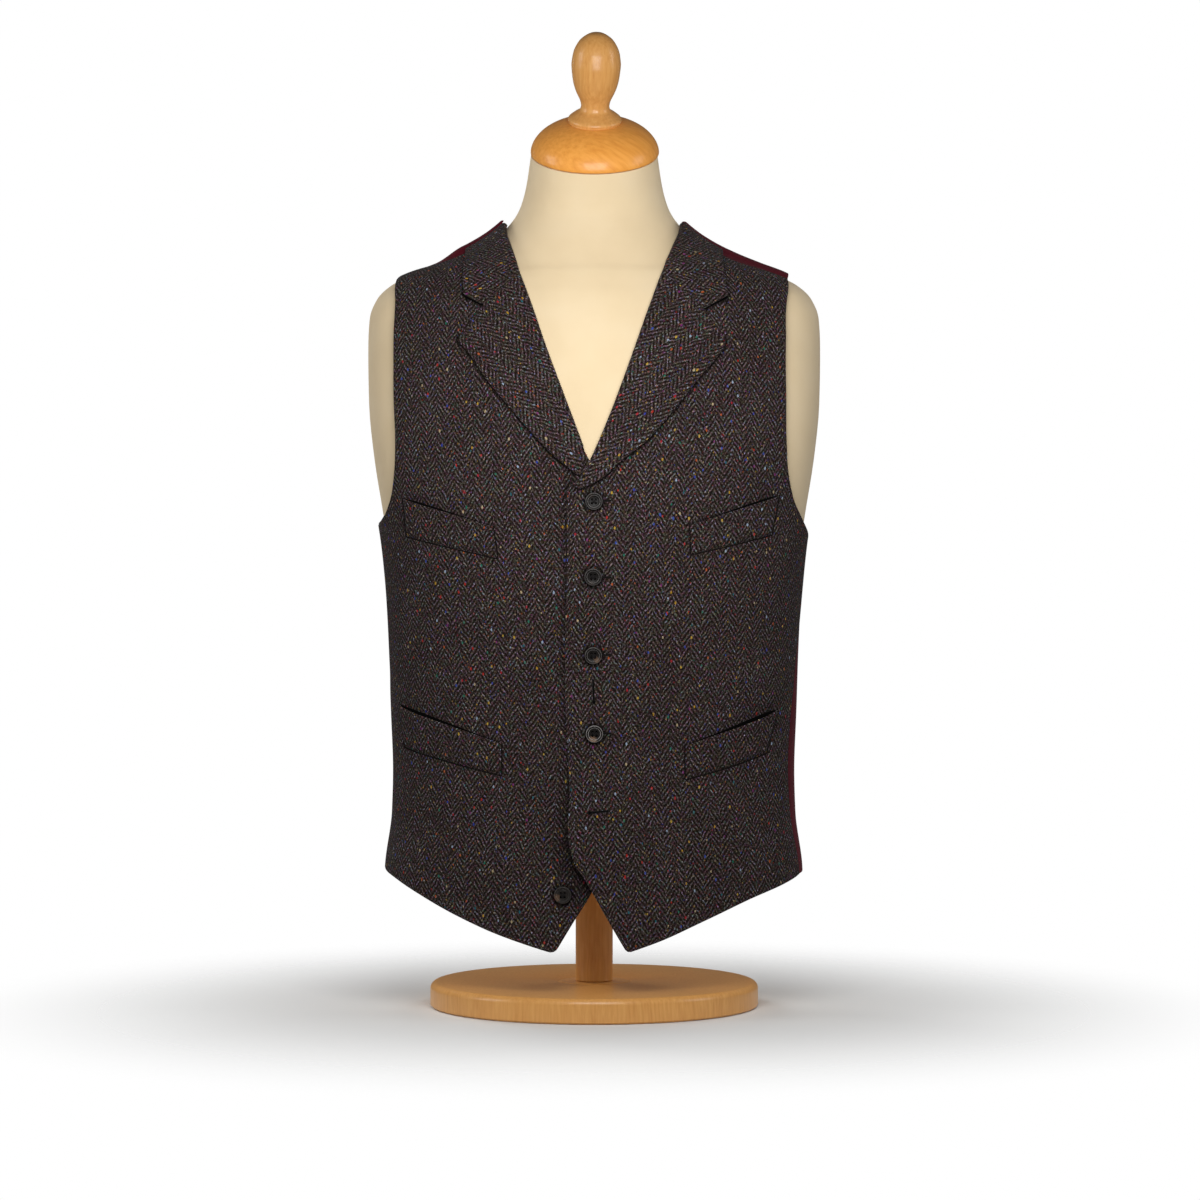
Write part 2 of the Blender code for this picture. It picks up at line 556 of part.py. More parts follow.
def add_stand(finish, group):
    """The wooden neck cap, finial, pole and base."""
    tilt = math.radians(NECK_TILT)
    axis = Vector((0.0, -math.sin(tilt), math.cos(tilt)))
    dome = [(0.0, CAP_SEAT), (CAP_SEAT_RADIUS, CAP_SEAT)]
    for share in (0.50, 0.60, 0.70, 0.79, 0.87, 0.93, 0.97, 0.99):
        dome.append((CAP_RADIUS * share, CAP_RIM + CAP_DOME * (1 - share**CAP_ROUND)**(1 / CAP_CROWN)))
    foot = [(CAP_RADIUS, CAP_RIM), (CAP_RADIUS - CAP_CHAMFER, 0.0), (0.0, 0.0)]
    cap = add_turned("neck_cap", dome + foot, 32, finish, group)
    cap.location = Vector(NECK_TOP) + TOUCH * axis
    cap.rotation_euler.x = tilt
    finial = add_turned("finial", FINIAL_PROFILE, 24, finish, group)
    finial.location = cap.location + FINIAL_FOOT * axis
    finial.rotation_euler = (tilt, math.radians(FINIAL_LEAN), 0.0)
    inner, under = BASE_RADIUS - BASE_ROUND, BASE_THICK - BASE_ROUND
    rounded = [(inner + BASE_ROUND * math.sin(a), under + BASE_ROUND * math.cos(a))
               for a in np.radians((0, 30, 60, 90))]
    foot = [(BASE_RADIUS, BASE_CHAMFER), (BASE_RADIUS - BASE_CHAMFER, 0.0), (0.0, 0.0)]
    profile = [(0.0, BASE_THICK)] + rounded + foot
    add_turned("base", profile, 48, finish, group)
    pole_foot, pole_top = BASE_THICK + TOUCH, FORM_BOTTOM - TOUCH
    profile = [(0.0, pole_top), (POLE_RADIUS, pole_top), (POLE_RADIUS, pole_foot), (0.0, pole_foot)]
    add_turned("pole", profile, 24, finish, group)


def main():
    for old in list(bpy.data.objects):
        bpy.data.objects.remove(old, do_unlink=True)
    group = bpy.data.collections.new("suit_waistcoat")
    bpy.context.scene.collection.children.link(group)
    tweed = material("tweed", (0.046, 0.036, 0.032), 0.9)
    satin = material("satin", (0.155, 0.010, 0.022), 0.42)
    horn = material("horn", (0.016, 0.012, 0.010), 0.35)
    jersey = material("jersey", (0.83, 0.76, 0.60), 0.8)
    wood = material("wood", (0.60, 0.29, 0.09), 0.28)

    add_front("front_left", "top", LEFT_FRONT_EDGE, LEFT_NECKLINE, LEFT_HEM, LEFT_ARMHOLE,
              LEFT_SIDE_SEAM, LEFT_SHOULDER, tweed, group)
    add_front("front_right", "under", RIGHT_FRONT_EDGE, RIGHT_NECKLINE, RIGHT_HEM, RIGHT_ARMHOLE,
              RIGHT_SIDE_SEAM, RIGHT_SHOULDER, tweed, group)
    add_back("back_left", 1, LEFT_SIDE_SEAM, LEFT_SHOULDER, satin, group)
    add_back("back_right", -1, RIGHT_SIDE_SEAM, RIGHT_SHOULDER, satin, group)
    add_lapel("lapel_left", "top", LEFT_LAPEL_ROLL, LEFT_LAPEL_EDGE, LEFT_GORGE, tweed, group)
    add_lapel("lapel_right", "under", RIGHT_LAPEL_ROLL, RIGHT_LAPEL_EDGE, RIGHT_GORGE, tweed, group)
    add_collar("collar_left", "top", LEFT_GORGE, LEFT_COLLAR_END, LEFT_COLLAR_EDGE,
               LEFT_SHOULDER, tweed, group)
    add_collar("collar_right", "under", RIGHT_GORGE, RIGHT_COLLAR_END, RIGHT_COLLAR_EDGE,
               RIGHT_SHOULDER, tweed, group)
    for row in WELTS:
        add_welt(row, tweed, group)
    for row in BUTTONS:
        add_button(row, horn, group)
    add_form(jersey, group)
    add_stand(wood, group)


main()
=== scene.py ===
"""Looks of the suit waistcoat on its dress form.

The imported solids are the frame. Every piece of cloth is made again here as a fine shell on
the same skin, between the same outlines, with its creases, rolled edges and weave.
Metres, +Z up, the fronts face -Y. Left and right are the wearer's own, so left is +X.
"""
import math
from types import SimpleNamespace

import bmesh
import bpy
import numpy as np
from mathutils import Matrix, Vector


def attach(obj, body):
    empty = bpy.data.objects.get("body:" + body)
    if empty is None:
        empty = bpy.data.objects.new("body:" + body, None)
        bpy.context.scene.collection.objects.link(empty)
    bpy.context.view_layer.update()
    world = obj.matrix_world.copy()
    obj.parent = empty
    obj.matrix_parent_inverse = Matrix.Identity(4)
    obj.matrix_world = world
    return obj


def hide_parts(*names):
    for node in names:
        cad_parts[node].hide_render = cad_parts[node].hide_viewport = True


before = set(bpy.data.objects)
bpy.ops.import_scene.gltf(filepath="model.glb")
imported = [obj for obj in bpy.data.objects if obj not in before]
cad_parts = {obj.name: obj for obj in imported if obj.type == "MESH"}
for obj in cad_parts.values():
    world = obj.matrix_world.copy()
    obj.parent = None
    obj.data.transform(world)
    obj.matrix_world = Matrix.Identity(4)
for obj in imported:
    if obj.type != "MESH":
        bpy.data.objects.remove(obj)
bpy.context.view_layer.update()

# ---------------------------------------------------------------- sizes, as in the solids
TWEED = 0.0022            # front cloth with its canvas
FACING = 0.0018           # lapels, collar and pocket welts
SATIN = 0.0012            # back cloth
SEAM_GAP = 0.0001         # the solids are further apart
LAYER_GAP = 0.0008        # between a piece and the cloth it lies on
OVERLAP_LIFT = 0.00145    # each front leaves the skin by this much in the overlap
HEM_LIFT = 0.0032         # the unfastened end of the top front stands out by this more
OVERLAP_REACH = 0.024
LIFT_FADES = 0.085
HEM_LIFT_STARTS = 0.238
HEM_LIFT_FULL = 0.203

FORM_REST = 0.0016
FORM_CLEAR = 0.0040
FORM_CLEAR_TO = 0.600
FORM_RIDGE_AHEAD = 0.012
FORM_RIDGE = 0.030
FORM_RIDGE_END = 0.060
FORM_REST_FROM = 0.108
FORM_NECK_CLEAR = 0.090
FORM_BOTTOM = 0.146
FORM_BOTTOM_ROUND = 0.010
FORM_SIDES = 160
FORM_CROWDING = 0.22
FORM_REST_FULL = 0.640    # above this the form's shoulders carry the cloth
FORM_BODY_RINGS = 9
FORM_SHOULDER_RINGS = 17
FORM_NECK_FROM = 0.706    # the neck has its own rings above this height
FORM_NECK_LEAD = 0.010    # and leads into them from this far below
FORM_SHARP = 50.0         # degrees from which an edge of the form is a crisp one

NECK_TILT = 25.5
NECK_TOP = (0.0006, -0.0165, 0.7767)
CAP_RADIUS = 0.0585
CAP_RIM = 0.0022          # height of the cap's widest ring
CAP_DOME = 0.0305         # height that the dome would reach above that ring
CAP_ROUND = 2.4           # how full its sides are, 2 being an ellipse
CAP_CROWN = 1.8           # and its top
CAP_SEAT = 0.0304         # height of the flat turned on it for the finial
CAP_SEAT_RADIUS = 0.0248
CAP_CHAMFER = 0.0022      # at its foot
FINIAL_FOOT = 0.0313      # above the cap's foot, along its axis
FINIAL_SUNK = 0.0012      # its foot goes this far into the cap, so that no gap shows
FINIAL_LEAN = 1.5
FINIAL_SHARP = 60.0       # degrees from which its edges are crisp ones
BASE_RADIUS = 0.150
BASE_THICK = 0.022
BASE_ROUND = 0.006
BASE_FOOT = 0.0015        # bevel at the base's foot
# The turned groove on the base: radius, depth
BASE_GROOVE = ((0.030, 0.0), (0.0312, 0.0), (0.033, 0.0008), (0.035, 0.0))
POLE_RADIUS = 0.017
POLE_BEVEL = 0.0006
TOUCH = 0.0003
BUTTON_GAP = 0.0005
BUTTON_RADIUS = 0.0077

# One row for each ring of the skin:
# height, half width, depth to the front, depth to the back, centre in Y, squareness
SKIN = (
    (0.040, 0.1910, 0.1200, 0.1170, 0.000, 2.35),
    (0.123, 0.1905, 0.1200, 0.1170, 0.000, 2.35),
    (0.178, 0.1840, 0.1160, 0.1080, 0.000, 2.30),
    (0.215, 0.1830, 0.1140, 0.1040, 0.000, 2.30),
    (0.272, 0.1850, 0.1160, 0.1050, 0.000, 2.30),
    (0.321, 0.1865, 0.1200, 0.1090, 0.000, 2.35),
    (0.372, 0.1890, 0.1250, 0.1150, 0.000, 2.40),
    (0.416, 0.1930, 0.1280, 0.1200, 0.000, 2.45),
    (0.450, 0.1980, 0.1290, 0.1230, 0.000, 2.45),
    (0.500, 0.2060, 0.1280, 0.1260, 0.000, 2.45),
    (0.550, 0.2110, 0.1225, 0.1250, 0.001, 2.40),
    (0.600, 0.2120, 0.1125, 0.1190, 0.003, 2.30),
    (0.628, 0.2090, 0.1045, 0.1110, 0.004, 2.20),
    (0.648, 0.2010, 0.0975, 0.1030, 0.005, 2.15),
    (0.660, 0.1890, 0.0925, 0.0970, 0.006, 2.10),
    (0.668, 0.1740, 0.0885, 0.0920, 0.006, 2.05),
    (0.676, 0.1530, 0.0845, 0.0870, 0.007, 2.00),
    (0.684, 0.1330, 0.0808, 0.0820, 0.007, 2.00),
    (0.694, 0.1120, 0.0770, 0.0770, 0.007, 2.00),
    (0.706, 0.0930, 0.0735, 0.0725, 0.007, 2.00),
    (0.720, 0.0775, 0.0712, 0.0680, 0.006, 2.00),
    (0.735, 0.0685, 0.0700, 0.0630, 0.003, 2.00),
)
# The bare neck above the skin: height, half width, half depth, centre in Y, lean in degrees
NECK = (
    (0.7160, 0.0765, 0.0650, 0.0055, 1.0), (0.7270, 0.0692, 0.0630, 0.0030, 4.0),
    (0.7390, 0.0647, 0.0606, -0.0012, 9.0), (0.7510, 0.0617, 0.0580, -0.0062, 14.0),
    (0.7640, 0.0595, 0.0550, -0.0112, 20.0), (0.7767, 0.0575, 0.0519, -0.0165, 25.5),
)

# The two halves of the waistcoat; the left front lies on top. side is 1 towards +X, tip_round
# is what the round of the front's tip takes up, the grains are the degrees that the columns of
# the lapel and the collar turn outwards, roll_starts is the height where the lapel starts to
# roll, and puff is how far the back stands up behind the shoulder. The rows of side_seam are
# height and angle from the middle of the front, those of shoulder are x and y as seen from
# above, and those of every other outline are x and height as seen from the front.
LEFT = SimpleNamespace(
    word="left", front="front_left", side=1,
    tip_round=0.0045, lapel_grain=39.0, collar_grain=73.0, roll_starts=0.4712, puff=0.0032,
    front_edge=(
        (0.0290, 0.0595), (0.0160, 0.0818), (-0.0010, 0.1120), (-0.0099, 0.1269), (-0.0157, 0.1349),
        (-0.0199, 0.1457), (-0.0217, 0.2037), (-0.0256, 0.2903), (-0.0238, 0.4207), (-0.0242, 0.4655),
    ),
    neckline=(
        (-0.0242, 0.4655), (-0.0154, 0.4761), (-0.0084, 0.4840), (-0.0031, 0.4945), (0.0101, 0.5246),
        (0.0251, 0.5637), (0.0384, 0.6015), (0.0492, 0.6325), (0.0610, 0.6640),
    ),
    hem=((0.0290, 0.0595), (0.0616, 0.0708), (0.0999, 0.0875), (0.1386, 0.1044), (0.1708, 0.1159)),
    armhole=(
        (0.1867, 0.4439), (0.1794, 0.4580), (0.1751, 0.4737), (0.1715, 0.5133), (0.1713, 0.5491),
        (0.1718, 0.6035), (0.1728, 0.6350),
    ),
    side_seam=((0.1225, 78.5), (0.250, 76.5), (0.330, 80.5), (0.400, 87.0), (0.4256, 90.0)),
    shoulder=((0.0786, -0.0180), (0.1000, -0.0320), (0.1300, -0.0385), (0.1755, -0.0280)),
    lapel_roll=(
        (-0.0192, 0.4712), (-0.0154, 0.4761), (-0.0084, 0.4840), (-0.0031, 0.4945), (0.0101, 0.5246),
        (0.0251, 0.5637), (0.0384, 0.6015), (0.0492, 0.6325), (0.0598, 0.6610),
    ),
    lapel_edge=(
        (-0.0118, 0.4676), (0.0075, 0.4773), (0.0233, 0.4919), (0.0459, 0.5098), (0.0585, 0.5233),
        (0.0763, 0.5452), (0.0941, 0.5678), (0.1117, 0.5897), (0.1165, 0.5985),
    ),
    gorge=((0.0598, 0.6610), (0.0970, 0.6285)),
    collar_end=((0.0982, 0.6290), (0.1184, 0.6403)),
    collar_edge=((0.1184, 0.6403), (0.1158, 0.6550), (0.1150, 0.6665)),
)
RIGHT = SimpleNamespace(
    word="right", front="front_right", side=-1,
    tip_round=0.0060, lapel_grain=-39.0, collar_grain=-90.0, roll_starts=0.4965, puff=0.0048,
    front_edge=(
        (-0.0350, 0.0583), (-0.0181, 0.0864), (-0.0021, 0.1123), (0.0080, 0.1350), (0.0165, 0.1600),
        (0.0200, 0.2000), (0.0200, 0.4640),
    ),
    neckline=(
        (0.0200, 0.4640), (0.0080, 0.4780), (-0.0035, 0.4928), (-0.0163, 0.5254), (-0.0307, 0.5638),
        (-0.0447, 0.6021), (-0.0547, 0.6319), (-0.0670, 0.6640),
    ),
    hem=(
        (-0.0350, 0.0583), (-0.0606, 0.0663), (-0.0911, 0.0771), (-0.1221, 0.0906), (-0.1617, 0.1106),
        (-0.1770, 0.1190),
    ),
    armhole=(
        (-0.1876, 0.4472), (-0.1830, 0.4581), (-0.1782, 0.4881), (-0.1774, 0.5135), (-0.1790, 0.5495),
        (-0.1798, 0.6132), (-0.1792, 0.6380),
    ),
    side_seam=((0.1280, -90.0), (0.250, -90.5), (0.330, -90.5), (0.400, -90.0), (0.4379, -90.0)),
    shoulder=((-0.0800, -0.0140), (-0.1000, -0.0270), (-0.1300, -0.0300), (-0.1770, -0.0080)),
    lapel_roll=(
        (-0.0128, 0.4800), (-0.0098, 0.4870), (-0.0058, 0.4955), (-0.0072, 0.5002), (-0.0163, 0.5254),
        (-0.0307, 0.5638), (-0.0447, 0.6021), (-0.0547, 0.6319), (-0.0657, 0.6610),
    ),
    lapel_edge=(
        (-0.0165, 0.4815), (-0.0374, 0.4990), (-0.0559, 0.5185), (-0.0809, 0.5479), (-0.0951, 0.5655),
        (-0.1105, 0.5888), (-0.1205, 0.5999),
    ),
    gorge=((-0.0657, 0.6610), (-0.0972, 0.6325)),
    collar_end=((-0.0984, 0.6320), (-0.1149, 0.6409)),
    collar_edge=((-0.1149, 0.6409), (-0.1164, 0.6560), (-0.1155, 0.6700)),
)
# The back's armholes: distance from the middle, height
BACK_ARMHOLE = (
    (0.1850, 0.4450), (0.1740, 0.4650), (0.1660, 0.5000), (0.1640, 0.5500),
    (0.1670, 0.6000), (0.1705, 0.6300),
)
# and over the top of the shoulder: distance from the middle, y
BACK_ARMHOLE_TOP = ((0.1735, 0.0500), (0.1755, 0.0100))
COLLAR_WIDTH = 0.1155
COLLAR_TOP = 0.012
# The back's neckline and hem: angle from the middle of the front, height
BACK_NECKLINE = ((180.0, 0.6990), (155.0, 0.7010), (130.0, 0.7060), (100.0, 0.7115))
BACK_HEM = ((180.0, 0.1290), (150.0, 0.1285), (120.0, 0.1265))
# Pocket welts: name, then x and height of the inner foot, outer foot, outer top, inner top,
# and how far the mouth gapes
WELTS = (
    ("welt_chest_left", (0.0850, 0.4105), (0.1577, 0.4288), (0.1643, 0.4640), (0.0841, 0.4375),
     0.0012),
    ("welt_chest_right", (-0.0842, 0.4069), (-0.1669, 0.4274), (-0.1700, 0.4615), (-0.0886, 0.4358),
     0.0009),
    ("welt_hip_left", (0.0806, 0.2116), (0.1535, 0.2335), (0.1640, 0.2725), (0.0800, 0.2422),
     0.0022),
    ("welt_hip_right", (-0.0815, 0.2150), (-0.1700, 0.2385), (-0.1745, 0.2765), (-0.0814, 0.2443),
     0.0017),
)
# Buttons: name, x, height, the half that it stands on, then its pale patch: the angle of its
# middle in degrees, counted from the viewer's right, and its strength; then how light the rest
# of it is and how bright its rings of painted highlight are
BUTTONS = (
    ("button_1", 0.0000, 0.4572, LEFT, 120.0, 0.06, 0.0075, 0.34),
    ("button_2", -0.0008, 0.3911, LEFT, 250.0, 0.06, 0.0100, 0.30),
    ("button_3", -0.0006, 0.3220, LEFT, -50.0, 0.45, 0.0105, 0.34),
    ("button_4", 0.0004, 0.2527, LEFT, -110.0, 0.80, 0.0105, 0.85),
    ("button_5", 0.0000, 0.1822, RIGHT, 40.0, 0.30, 0.0110, 0.25),
    ("button_6", -0.0275, 0.1105, RIGHT, 200.0, 0.45, 0.0200, 0.10),
)
# Turned profiles, one row for each point: radius, height above the piece's own foot
BUTTON_PROFILE = (
    (0.0000, 0.0020), (0.0040, 0.0019), (0.0046, 0.0021), (0.0050, 0.0019), (0.0056, 0.0020),
    (0.0059, 0.0028), (0.0062, 0.0031), (0.0067, 0.0032), (0.0072, 0.0030), (0.0076, 0.0025),
    (0.0077, 0.0020), (0.0077, 0.0012), (0.0074, 0.0006), (0.0066, 0.0001), (0.0000, 0.0000),
)
FINIAL_PROFILE = (
    (0.0000, 0.0824), (0.0061, 0.0815), (0.0118, 0.0781), (0.0163, 0.0735), (0.0204, 0.0654),
    (0.0221, 0.0561), (0.0222, 0.0503), (0.0208, 0.0386), (0.0182, 0.0293), (0.0140, 0.0200),
    (0.0127, 0.0145), (0.0141, 0.0106), (0.0183, 0.0078), (0.0225, 0.0046), (0.0240, 0.0030),
    (0.0245, 0.0014), (0.0240, 0.0000),
)
SHARP = 35.0              # degrees from which a turned piece's edge is a crisp one
BUTTON_THICK = 0.0032
BUTTON_SIDES = 56
HOLE_SIDES = 20
BUTTON_HOLES = 0.0034     # from one hole to the next
BUTTON_HOLE = 0.0011      # radius of a hole
BUTTON_THREAD = 0.00030
HORN_PATCH_OUT = 0.0056   # from a button's middle to that of its pale patch
HORN_HIGHLIGHT_RADII = (0.0072, 0.0054)   # radii of a button's rings of painted highlight on its rim
THREAD_RISE = 0.0021      # height of the thread at a hole, above the button's foot
THREAD_ARCH = 0.0004      # and how much higher it is between two holes
THREAD_OVER = 0.00035     # the second thread of a pair lies this much higher
THREAD_BESIDE = 0.00045   # and the second pair this far beside the first
THREAD_SINKS = 0.93       # share of the way from the middle where it goes down its hole
THREAD_FOOT = -0.0006
SHANK_RADIUS = 0.0012     # of the thread under the button
SHANK_MIDDLE = -0.0004
HOLE_HALF = 0.00068       # from a buttonhole's middle to its stitched edge
EYELET = 0.00160          # radius of its eyelet
PURL = 0.00032            # radius of its edging
PURL_SWELL = 0.18         # share of it by which its stitches swell
PURL_UP = 0.25            # share of it by which its middle stands over the cloth
SLIT_UP = 0.50            # and by which the painted shadow in the slit does
STITCH = 0.0008
HOLE_STEPS = 230          # round a buttonhole
# Buttonholes in the top front: name, x and height of the eyelet, then of the far end, and the
# material of the painted shadow in its opening
BUTTONHOLES = (
    ("buttonhole_1", (0.0010, 0.4572), (0.0150, 0.4578), "crevice"),
    ("buttonhole_2", (0.0004, 0.3911), (0.0152, 0.3906), "crevice"),
    ("buttonhole_3", (0.0006, 0.3220), (0.0152, 0.3226), "crevice"),
    ("buttonhole_4", (0.0014, 0.2527), (0.0152, 0.2531), "crevice"),
    ("buttonhole_5", (-0.0039, 0.1827), (0.0128, 0.1843), "slit"),
    ("buttonhole_chain", (-0.0001, 0.2806), (-0.0008, 0.3006), "slit"),
)

# ---------------------------------------------------------------- sizes of the fine shells
CELL = 0.0028             # about the spacing of a shell's points
COARSE = 8                # steps of the fine net to one of the coarse net
FINE = 4                  # the same for the small pieces
ROLL_ARC = 120.0          # degrees that lapels and collar turn under round the front's edge
ROLL_STEPS = 10
ROLL_RADIUS = TWEED / 2 + LAYER_GAP + FACING / 2
ROLL_INSET = ROLL_RADIUS + FACING / 2
ROLL_FADE = 0.012         # over this length from the foot of the neckline
LEAST_ROLL = 0.14         # radians, where the lapel only starts to turn
END_BLEND = 0.030         # length over which a run is led to its new end
POINT_ROUND = 0.0022      # taken up by a lapel's rounded point
SEAM_BULGE = 0.45
GORGE_BULGE = 0.25
FACING_STEPS = 9          # of tweed turned in round a front before its lining starts
WELT_TUCK = 0.0050        # a welt rises from its seam over this much
WELT_END_TUCK = 0.0040    # and from its ends over this much
WELT_SUNK = -0.0003
WELT_STANDS = 0.0021
LAPEL_THICK = 0.0024      # a lapel's two cloths with their seam turned in
LAPEL_BELLY = 0.0012      # how far a lapel bulges between its roll and its edge
LAPEL_SPRING = 0.0020     # how far its outer edge stands off
LAPEL_FULL = 0.7          # how full the bulge is along it, 1 being half a wave
SPRING_WAVE = (0.25, 9.0, 1.2)     # how uneven the spring is, its waves in radians and their start
SPRING_FROM = 0.12        # share of a lapel's length where it has its whole spring
COLLAR_BELLY = 0.5        # a collar's bulge next to a lapel's
COLLAR_SPRING_TO = 0.35   # share of its length where its spring starts to go
EDGE_TROUGH = 0.0004      # the under front sinks by this beside the top front's edge
TROUGH_X = -0.018         # where that trough is deepest
TROUGH_SPAN = (0.009, 0.034)       # it is whole as far as the first from there, gone at the second
TROUGH_TOP = (0.47, 0.49)          # and the same in height
DIMPLE = 0.0005           # how far a fastened button pulls in its cloth
DIMPLE_REACH = 0.016
CREASE_END = 0.12         # of a half wave, where a crease's ends are cut off
EDGE_SHADE = 0.0034       # painted shade darkens the cloth this far from what lies on it
CLOSING_SHADE = 0.0095    # and from the top front's edge,
HEM_SHADE = 0.0280        # near the hem
HEM_SHADE_SPAN = (0.12, 0.24)      # heights where that has its whole reach and where it has gone
CLOSING_STRENGTH = (0.55, 0.85)    # how strongly, above and near the hem
COVERED_SHADE = 1.6       # the greatest shade, under what lies on the cloth
BUTTON_SHADE = 0.0050     # round each button
MOUTH_SHADE = (0.0030, 0.0110)     # above a pocket's mouth, at its inner and outer ends
MOUTH_STRENGTH = 0.8
MOUTH_SHADE_END = 0.88    # share of the mouth's length where its shade starts to fade
SEAM_WIDE = 0.0007        # width of a seam's strip of painted shadow
SEAM_STANDS = 0.0002
LINE_TUCK = 0.0004        # a seam's strip of painted shadow starts this far behind its edge, that of the painted shadow under the collar this far and that of the painted shadow in a pocket's mouth this far
NOTCH_TUCK = 0.0008       # that of the gap under the collar this far
MOUTH_TUCK = 0.0012       # and a pocket's dark mouth this far
MOUTH_WIDE = 0.0008       # least width of that mouth, at its outer end
MOUTH_INNER = 0.30        # and the share of it at its inner end
MOUTH_LEAN = 1.6          # how far outwards it gapes most, 1 being its middle
MOUTH_FULL = 0.7          # how full its gape is, 1 being a half wave
MOUTH_GAPE_INNER = 0.20   # share of the gape at its inner end
MOUTH_CLOSES = 8          # how abruptly it closes at its outer end
DIP_FULL = 0.6            # how full the dip in the cloth over it is
DIP_INNER = 0.35          # share of the dip at its inner end
WELT_GAPE_INNER = 0.30    # and of the welt's own lean outwards
WELT_GAPE_FROM = 0.45     # share of a welt's height where it starts to lean outwards
WELT_SAG = 0.6            # share of its gape by which its edges sag
NOTCH_WIDE = 0.0010       # of the painted shadow under the collar's end
PUFF_AHEAD = (-0.012, -0.030)      # y where the loose cloth behind a shoulder is whole and gone,
PUFF_BEHIND = (0.030, 0.075)       # to the front and to the back,
PUFF_DOWN = (0.640, 0.610)         # and the same in height
PUFF_ENDS = (0.118, 0.146)         # where the right one starts to lie down and where it has
TAPE_HALF = 1.0           # degrees that a tape behind a side seam reaches to either side
TAPE_BEHIND = 0.0003
TAPE_CLEAR = 0.0008       # of the hem and of the form
RIM_SIDES = 4
RUN_STEPS = 60            # along a pocket's edge
END_STEPS = 24            # along a short end
CURVE_STEPS = 16
SKIN_STEPS = 10
SLOPE_STEP = 0.00001
RELAX_ROUNDS = 30
FLAT_ROUNDS = 2500
FLAT_PULL = 0.20
HALVINGS = 40

# Soft creases, one row each: start and end as x and height, width, height off the skin
# (a trough is negative). Those of the fronts are seen from the front.
FRONT_CREASES = (
    ((-0.0889, 0.4243), (-0.1280, 0.3740), 0.0120, -0.0010),
    ((-0.0990, 0.4080), (-0.1500, 0.3700), 0.0130, 0.0008),
    ((-0.1250, 0.3300), (-0.1750, 0.3050), 0.0120, -0.0013),
    ((-0.1050, 0.2900), (-0.1720, 0.2870), 0.0110, 0.0009),
    ((-0.0550, 0.1950), (-0.0700, 0.0850), 0.0160, -0.0009),
    ((-0.0950, 0.2050), (-0.1120, 0.1050), 0.0170, 0.0010),
    ((-0.1480, 0.2050), (-0.1560, 0.1250), 0.0150, -0.0010),
    ((0.0900, 0.4000), (0.1500, 0.3560), 0.0130, -0.0009),
    ((0.0950, 0.3300), (0.1700, 0.3130), 0.0140, -0.0012),
    ((0.1200, 0.3000), (0.1750, 0.2920), 0.0110, 0.0009),
    ((0.0600, 0.1900), (0.0780, 0.0900), 0.0160, -0.0008),
    ((0.1130, 0.2000), (0.1240, 0.1120), 0.0170, 0.0011),
    ((0.1500, 0.2050), (0.1580, 0.1250), 0.0140, -0.0008),
    ((-0.1300, 0.5600), (-0.1650, 0.4900), 0.0120, -0.0009),
    ((0.1320, 0.5500), (0.1640, 0.4900), 0.0120, -0.0010),
)
# Those of the back are seen from behind through the same x.
BACK_CREASES = (
    ((0.0080, 0.2700), (0.0900, 0.2460), 0.0140, -0.0022),
    ((-0.0050, 0.2560), (-0.1050, 0.2330), 0.0150, -0.0020),
    ((0.0250, 0.2400), (0.1250, 0.2130), 0.0120, 0.0016),
    ((-0.0200, 0.2930), (-0.1150, 0.2860), 0.0130, 0.0015),
    ((0.0050, 0.3100), (0.1250, 0.3050), 0.0150, -0.0017),
    ((-0.0150, 0.3260), (-0.1450, 0.3420), 0.0150, -0.0018),
    ((0.0600, 0.3450), (0.1500, 0.3800), 0.0140, 0.0015),
    ((0.1050, 0.4150), (0.1550, 0.4750), 0.0150, -0.0020),
    ((-0.1000, 0.4000), (-0.1550, 0.4700), 0.0150, -0.0019),
    ((0.0900, 0.5000), (0.1500, 0.5450), 0.0150, 0.0013),
    ((-0.0700, 0.4700), (-0.1450, 0.5300), 0.0160, 0.0014),
    ((0.0400, 0.6400), (0.1250, 0.5900), 0.0170, -0.0013),
    ((-0.0350, 0.6350), (-0.1200, 0.6000), 0.0160, -0.0012),
    ((0.0500, 0.2000), (0.0560, 0.1300), 0.0180, 0.0018),
    ((0.1150, 0.2050), (0.1220, 0.1280), 0.0180, -0.0018),
    ((-0.0420, 0.2050), (-0.0500, 0.1300), 0.0180, -0.0016),
    ((-0.0950, 0.2000), (-0.0990, 0.1300), 0.0190, 0.0019),
)
MOUTH_ABOVE = 0.0120      # the cloth over a pocket's mouth dips over this height
MOUTH_BELOW = 0.0200      # and comes back this far under the welt

# ---------------------------------------------------------------- sizes of the weave
COLUMN = 0.0087           # width of one column of the herringbone
TWILL_RISE = 1.42         # how steeply its lines climb
TWILL_STEP = 0.00557      # from one line to the next, up the column
WANDER = 0.0012           # how far the lines stray
YARN_SLUB = 0.0019        # length of the light and dark stretches of a yarn

# ---------------------------------------------------------------- colours and light
TWEED_COLOUR = (0.0266, 0.0178, 0.0154, 1.0)   # its middle tone
TONE_POWERS = (0.87, 1.0, 1.14)   # its light yarn is greyer than its dark yarn
LINE_CONTRAST = 1.00      # of the herringbone's lines, as a power of e
GRAIN_CONTRAST = 0.86     # of the dark and light hairs in it
HUE_CONTRAST = 1.55       # of its mixed colours
EDGE_KEEPS = 0.28         # share of its lightness that it keeps under the painted shade at the edge of what lies on it
NOISE_SPREAD = 0.13       # about how far a noise node strays from one half
KNOB_TONES = ((0.54, 0.225, 0.050, 1.0), (0.64, 0.305, 0.083, 1.0), (0.68, 0.335, 0.096, 1.0),
              (0.73, 0.385, 0.120, 1.0))
CAP_TONES = ((0.70, 0.250, 0.040, 1.0), (0.80, 0.325, 0.055, 1.0), (0.86, 0.365, 0.067, 1.0),
             (0.91, 0.405, 0.083, 1.0))
FLOOR_COLOUR = (0.74, 0.74, 0.73, 1.0)
